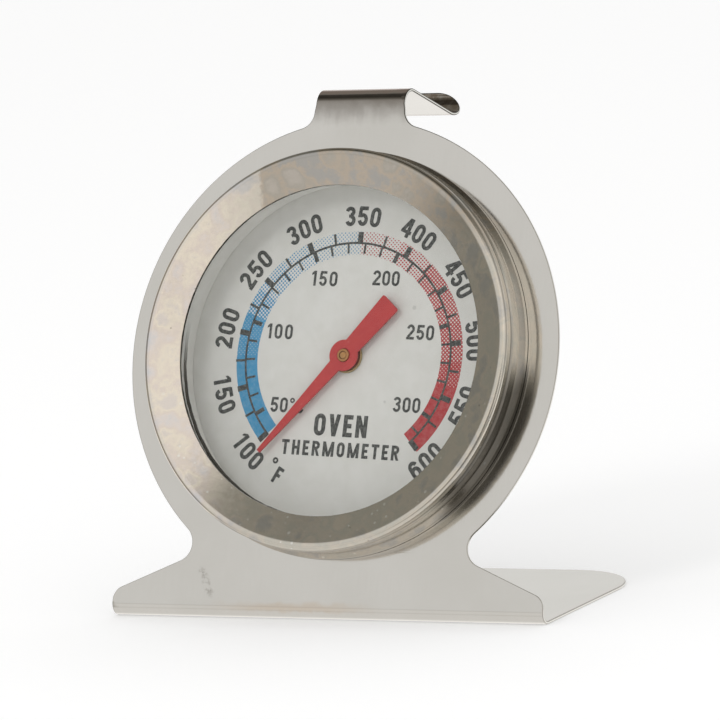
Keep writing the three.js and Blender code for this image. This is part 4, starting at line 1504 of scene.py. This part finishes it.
FLOOR_HALF = 20.0
FLOOR_TONE = (0.87, 0.87, 0.87, 1.0)
FLOOR_GLOW = 0.28
BACKDROP = (0.96, 0.96, 0.96, 1.0)
FILL = (0.83, 0.83, 0.83, 1.0)
ROOM = (0.295, 0.29, 0.26, 1.0)
ALL_ROUND = (-180, 180)
# Each softbox, table or dark flag: azimuth span, elevation span and edge softness, all in degrees, and
# its colour. Later ones cover earlier ones.
PANELS = [
    ("table behind", (95, 265), (-90, -6), 8, (1.08, 1.07, 1.05, 1.0)),
    ("wall behind", (108, 252), (-8, 28), 8, (0.82, 0.82, 0.80, 1.0)),
    ("table in front", (-120, 95), (-90, -24), 9, (0.85, 0.84, 0.82, 1.0)),
    ("low front left", (-52, -8), (-26, 8), 9, (0.85, 0.84, 0.82, 1.0)),
    ("front left wall", (-51, -9), (7, 49.5), 7, (0.82, 0.82, 0.81, 1.0)),
    ("front window", (-12, 18), (-14, 55), 2.5, (0.90, 0.88, 0.84, 1.0)),
    ("upper right", (18, 44), (20, 52), 4, (1.1, 1.08, 1.04, 1.0)),
    ("right softbox", (40, 76), (-10, 58), 7, (0.90, 0.89, 0.87, 1.0)),
    ("right wall", (76, 118), (-10, 50), 9, (0.50, 0.49, 0.47, 1.0)),
    ("camera side", (17, 45), (-24, 12), 5, (0.26, 0.25, 0.23, 1.0)),
    ("below the camera", (3, 20), (-26, -6), 4, (0.32, 0.31, 0.28, 1.0)),
    ("dark upper left", (-112, -50), (57, 100), 4, (0.09, 0.085, 0.075, 1.0)),
    ("dark ceiling", ALL_ROUND, (72, 100), 5, (0.10, 0.095, 0.085, 1.0)),
]


def add_world():
    """Soft panels round the object, seen in the metal. Painted surfaces get an even fill instead, and
    the camera sees a pale backdrop."""
    world = bpy.data.worlds.new("studio")
    bpy.context.scene.world = world
    world.use_nodes = True
    graph = Graph(world.node_tree)
    x, y, z = axes(graph, graph.node("TexCoord").outputs["Generated"])
    azimuth = graph.math("ARCTAN2", x, graph.times(y, -1.0))
    azimuth = graph.times(azimuth, 180 / math.pi)
    elevation = graph.times(graph.math("ARCSINE", z), 180 / math.pi)
    light = ROOM
    for _, (left, right), (low, high), soft, colour in PANELS:
        turned = graph.math("FLOORED_MODULO", azimuth, 360.0) if right > 180 else azimuth
        wide = 1.0 if (left, right) == ALL_ROUND else graph.within(turned, left, right, soft)
        tall = graph.within(elevation, low, high, soft)
        light = graph.mix(graph.times(tall, wide), light, colour)
    ray = graph.node("LightPath").outputs
    light = graph.mix(ray["Is Diffuse Ray"], light, FILL)
    light = graph.mix(ray["Is Camera Ray"], light, BACKDROP)
    studio = graph.node("Background", None, Color=light, Strength=1.0).outputs[0]
    graph.node("OutputWorld", None, Surface=studio)


def add_soft_light(name, azimuth, elevation, distance, size, watts):
    """A large soft lamp aimed at the dial. It lights the paint and stays out of the reflections."""
    data = bpy.data.lights.new(name, "AREA")
    data.shape = "DISK"
    data.size = size
    data.energy = watts
    lamp = link_object(name, data)
    back = backward(azimuth, elevation)
    turn = (-back).to_track_quat("-Z", "Y").to_matrix().to_4x4()
    lamp.matrix_world = Matrix.Translation(PLATE.translation + back * distance) @ turn
    lamp.visible_glossy = False


def add_floor():
    """A wide pale floor under the foot. The metal's reflections come from the panels instead."""
    bm = bmesh.new()
    corners = ((-1, -1), (1, -1), (1, 1), (-1, 1))
    bm.faces.new([bm.verts.new((x * FLOOR_HALF, y * FLOOR_HALF, 0.0)) for x, y in corners])
    mesh = bpy.data.meshes.new("floor")
    bm.to_mesh(mesh)
    bm.free()
    material, graph, _ = new_material("pale_floor")
    glow = {"Emission_Color": FLOOR_TONE, "Emission_Strength": FLOOR_GLOW}
    surface = graph.node("BsdfPrincipled", None, Base_Color=FLOOR_TONE, Roughness=0.9, **glow)
    graph.node("OutputMaterial", None, Surface=surface.outputs[0])
    mesh.materials.append(material)
    floor = link_object("floor", mesh)
    floor.visible_glossy = False


# ------------------------------------------------------------------ the scene

add_stand()
add_case()
add_dial()
add_pointer()
add_movement()
add_camera()
add_world()
add_soft_light("key_light", azimuth=-12.0, elevation=32.0, distance=1.0, size=0.3, watts=1.5)
add_floor()
bpy.context.scene.view_settings.view_transform = "Standard"
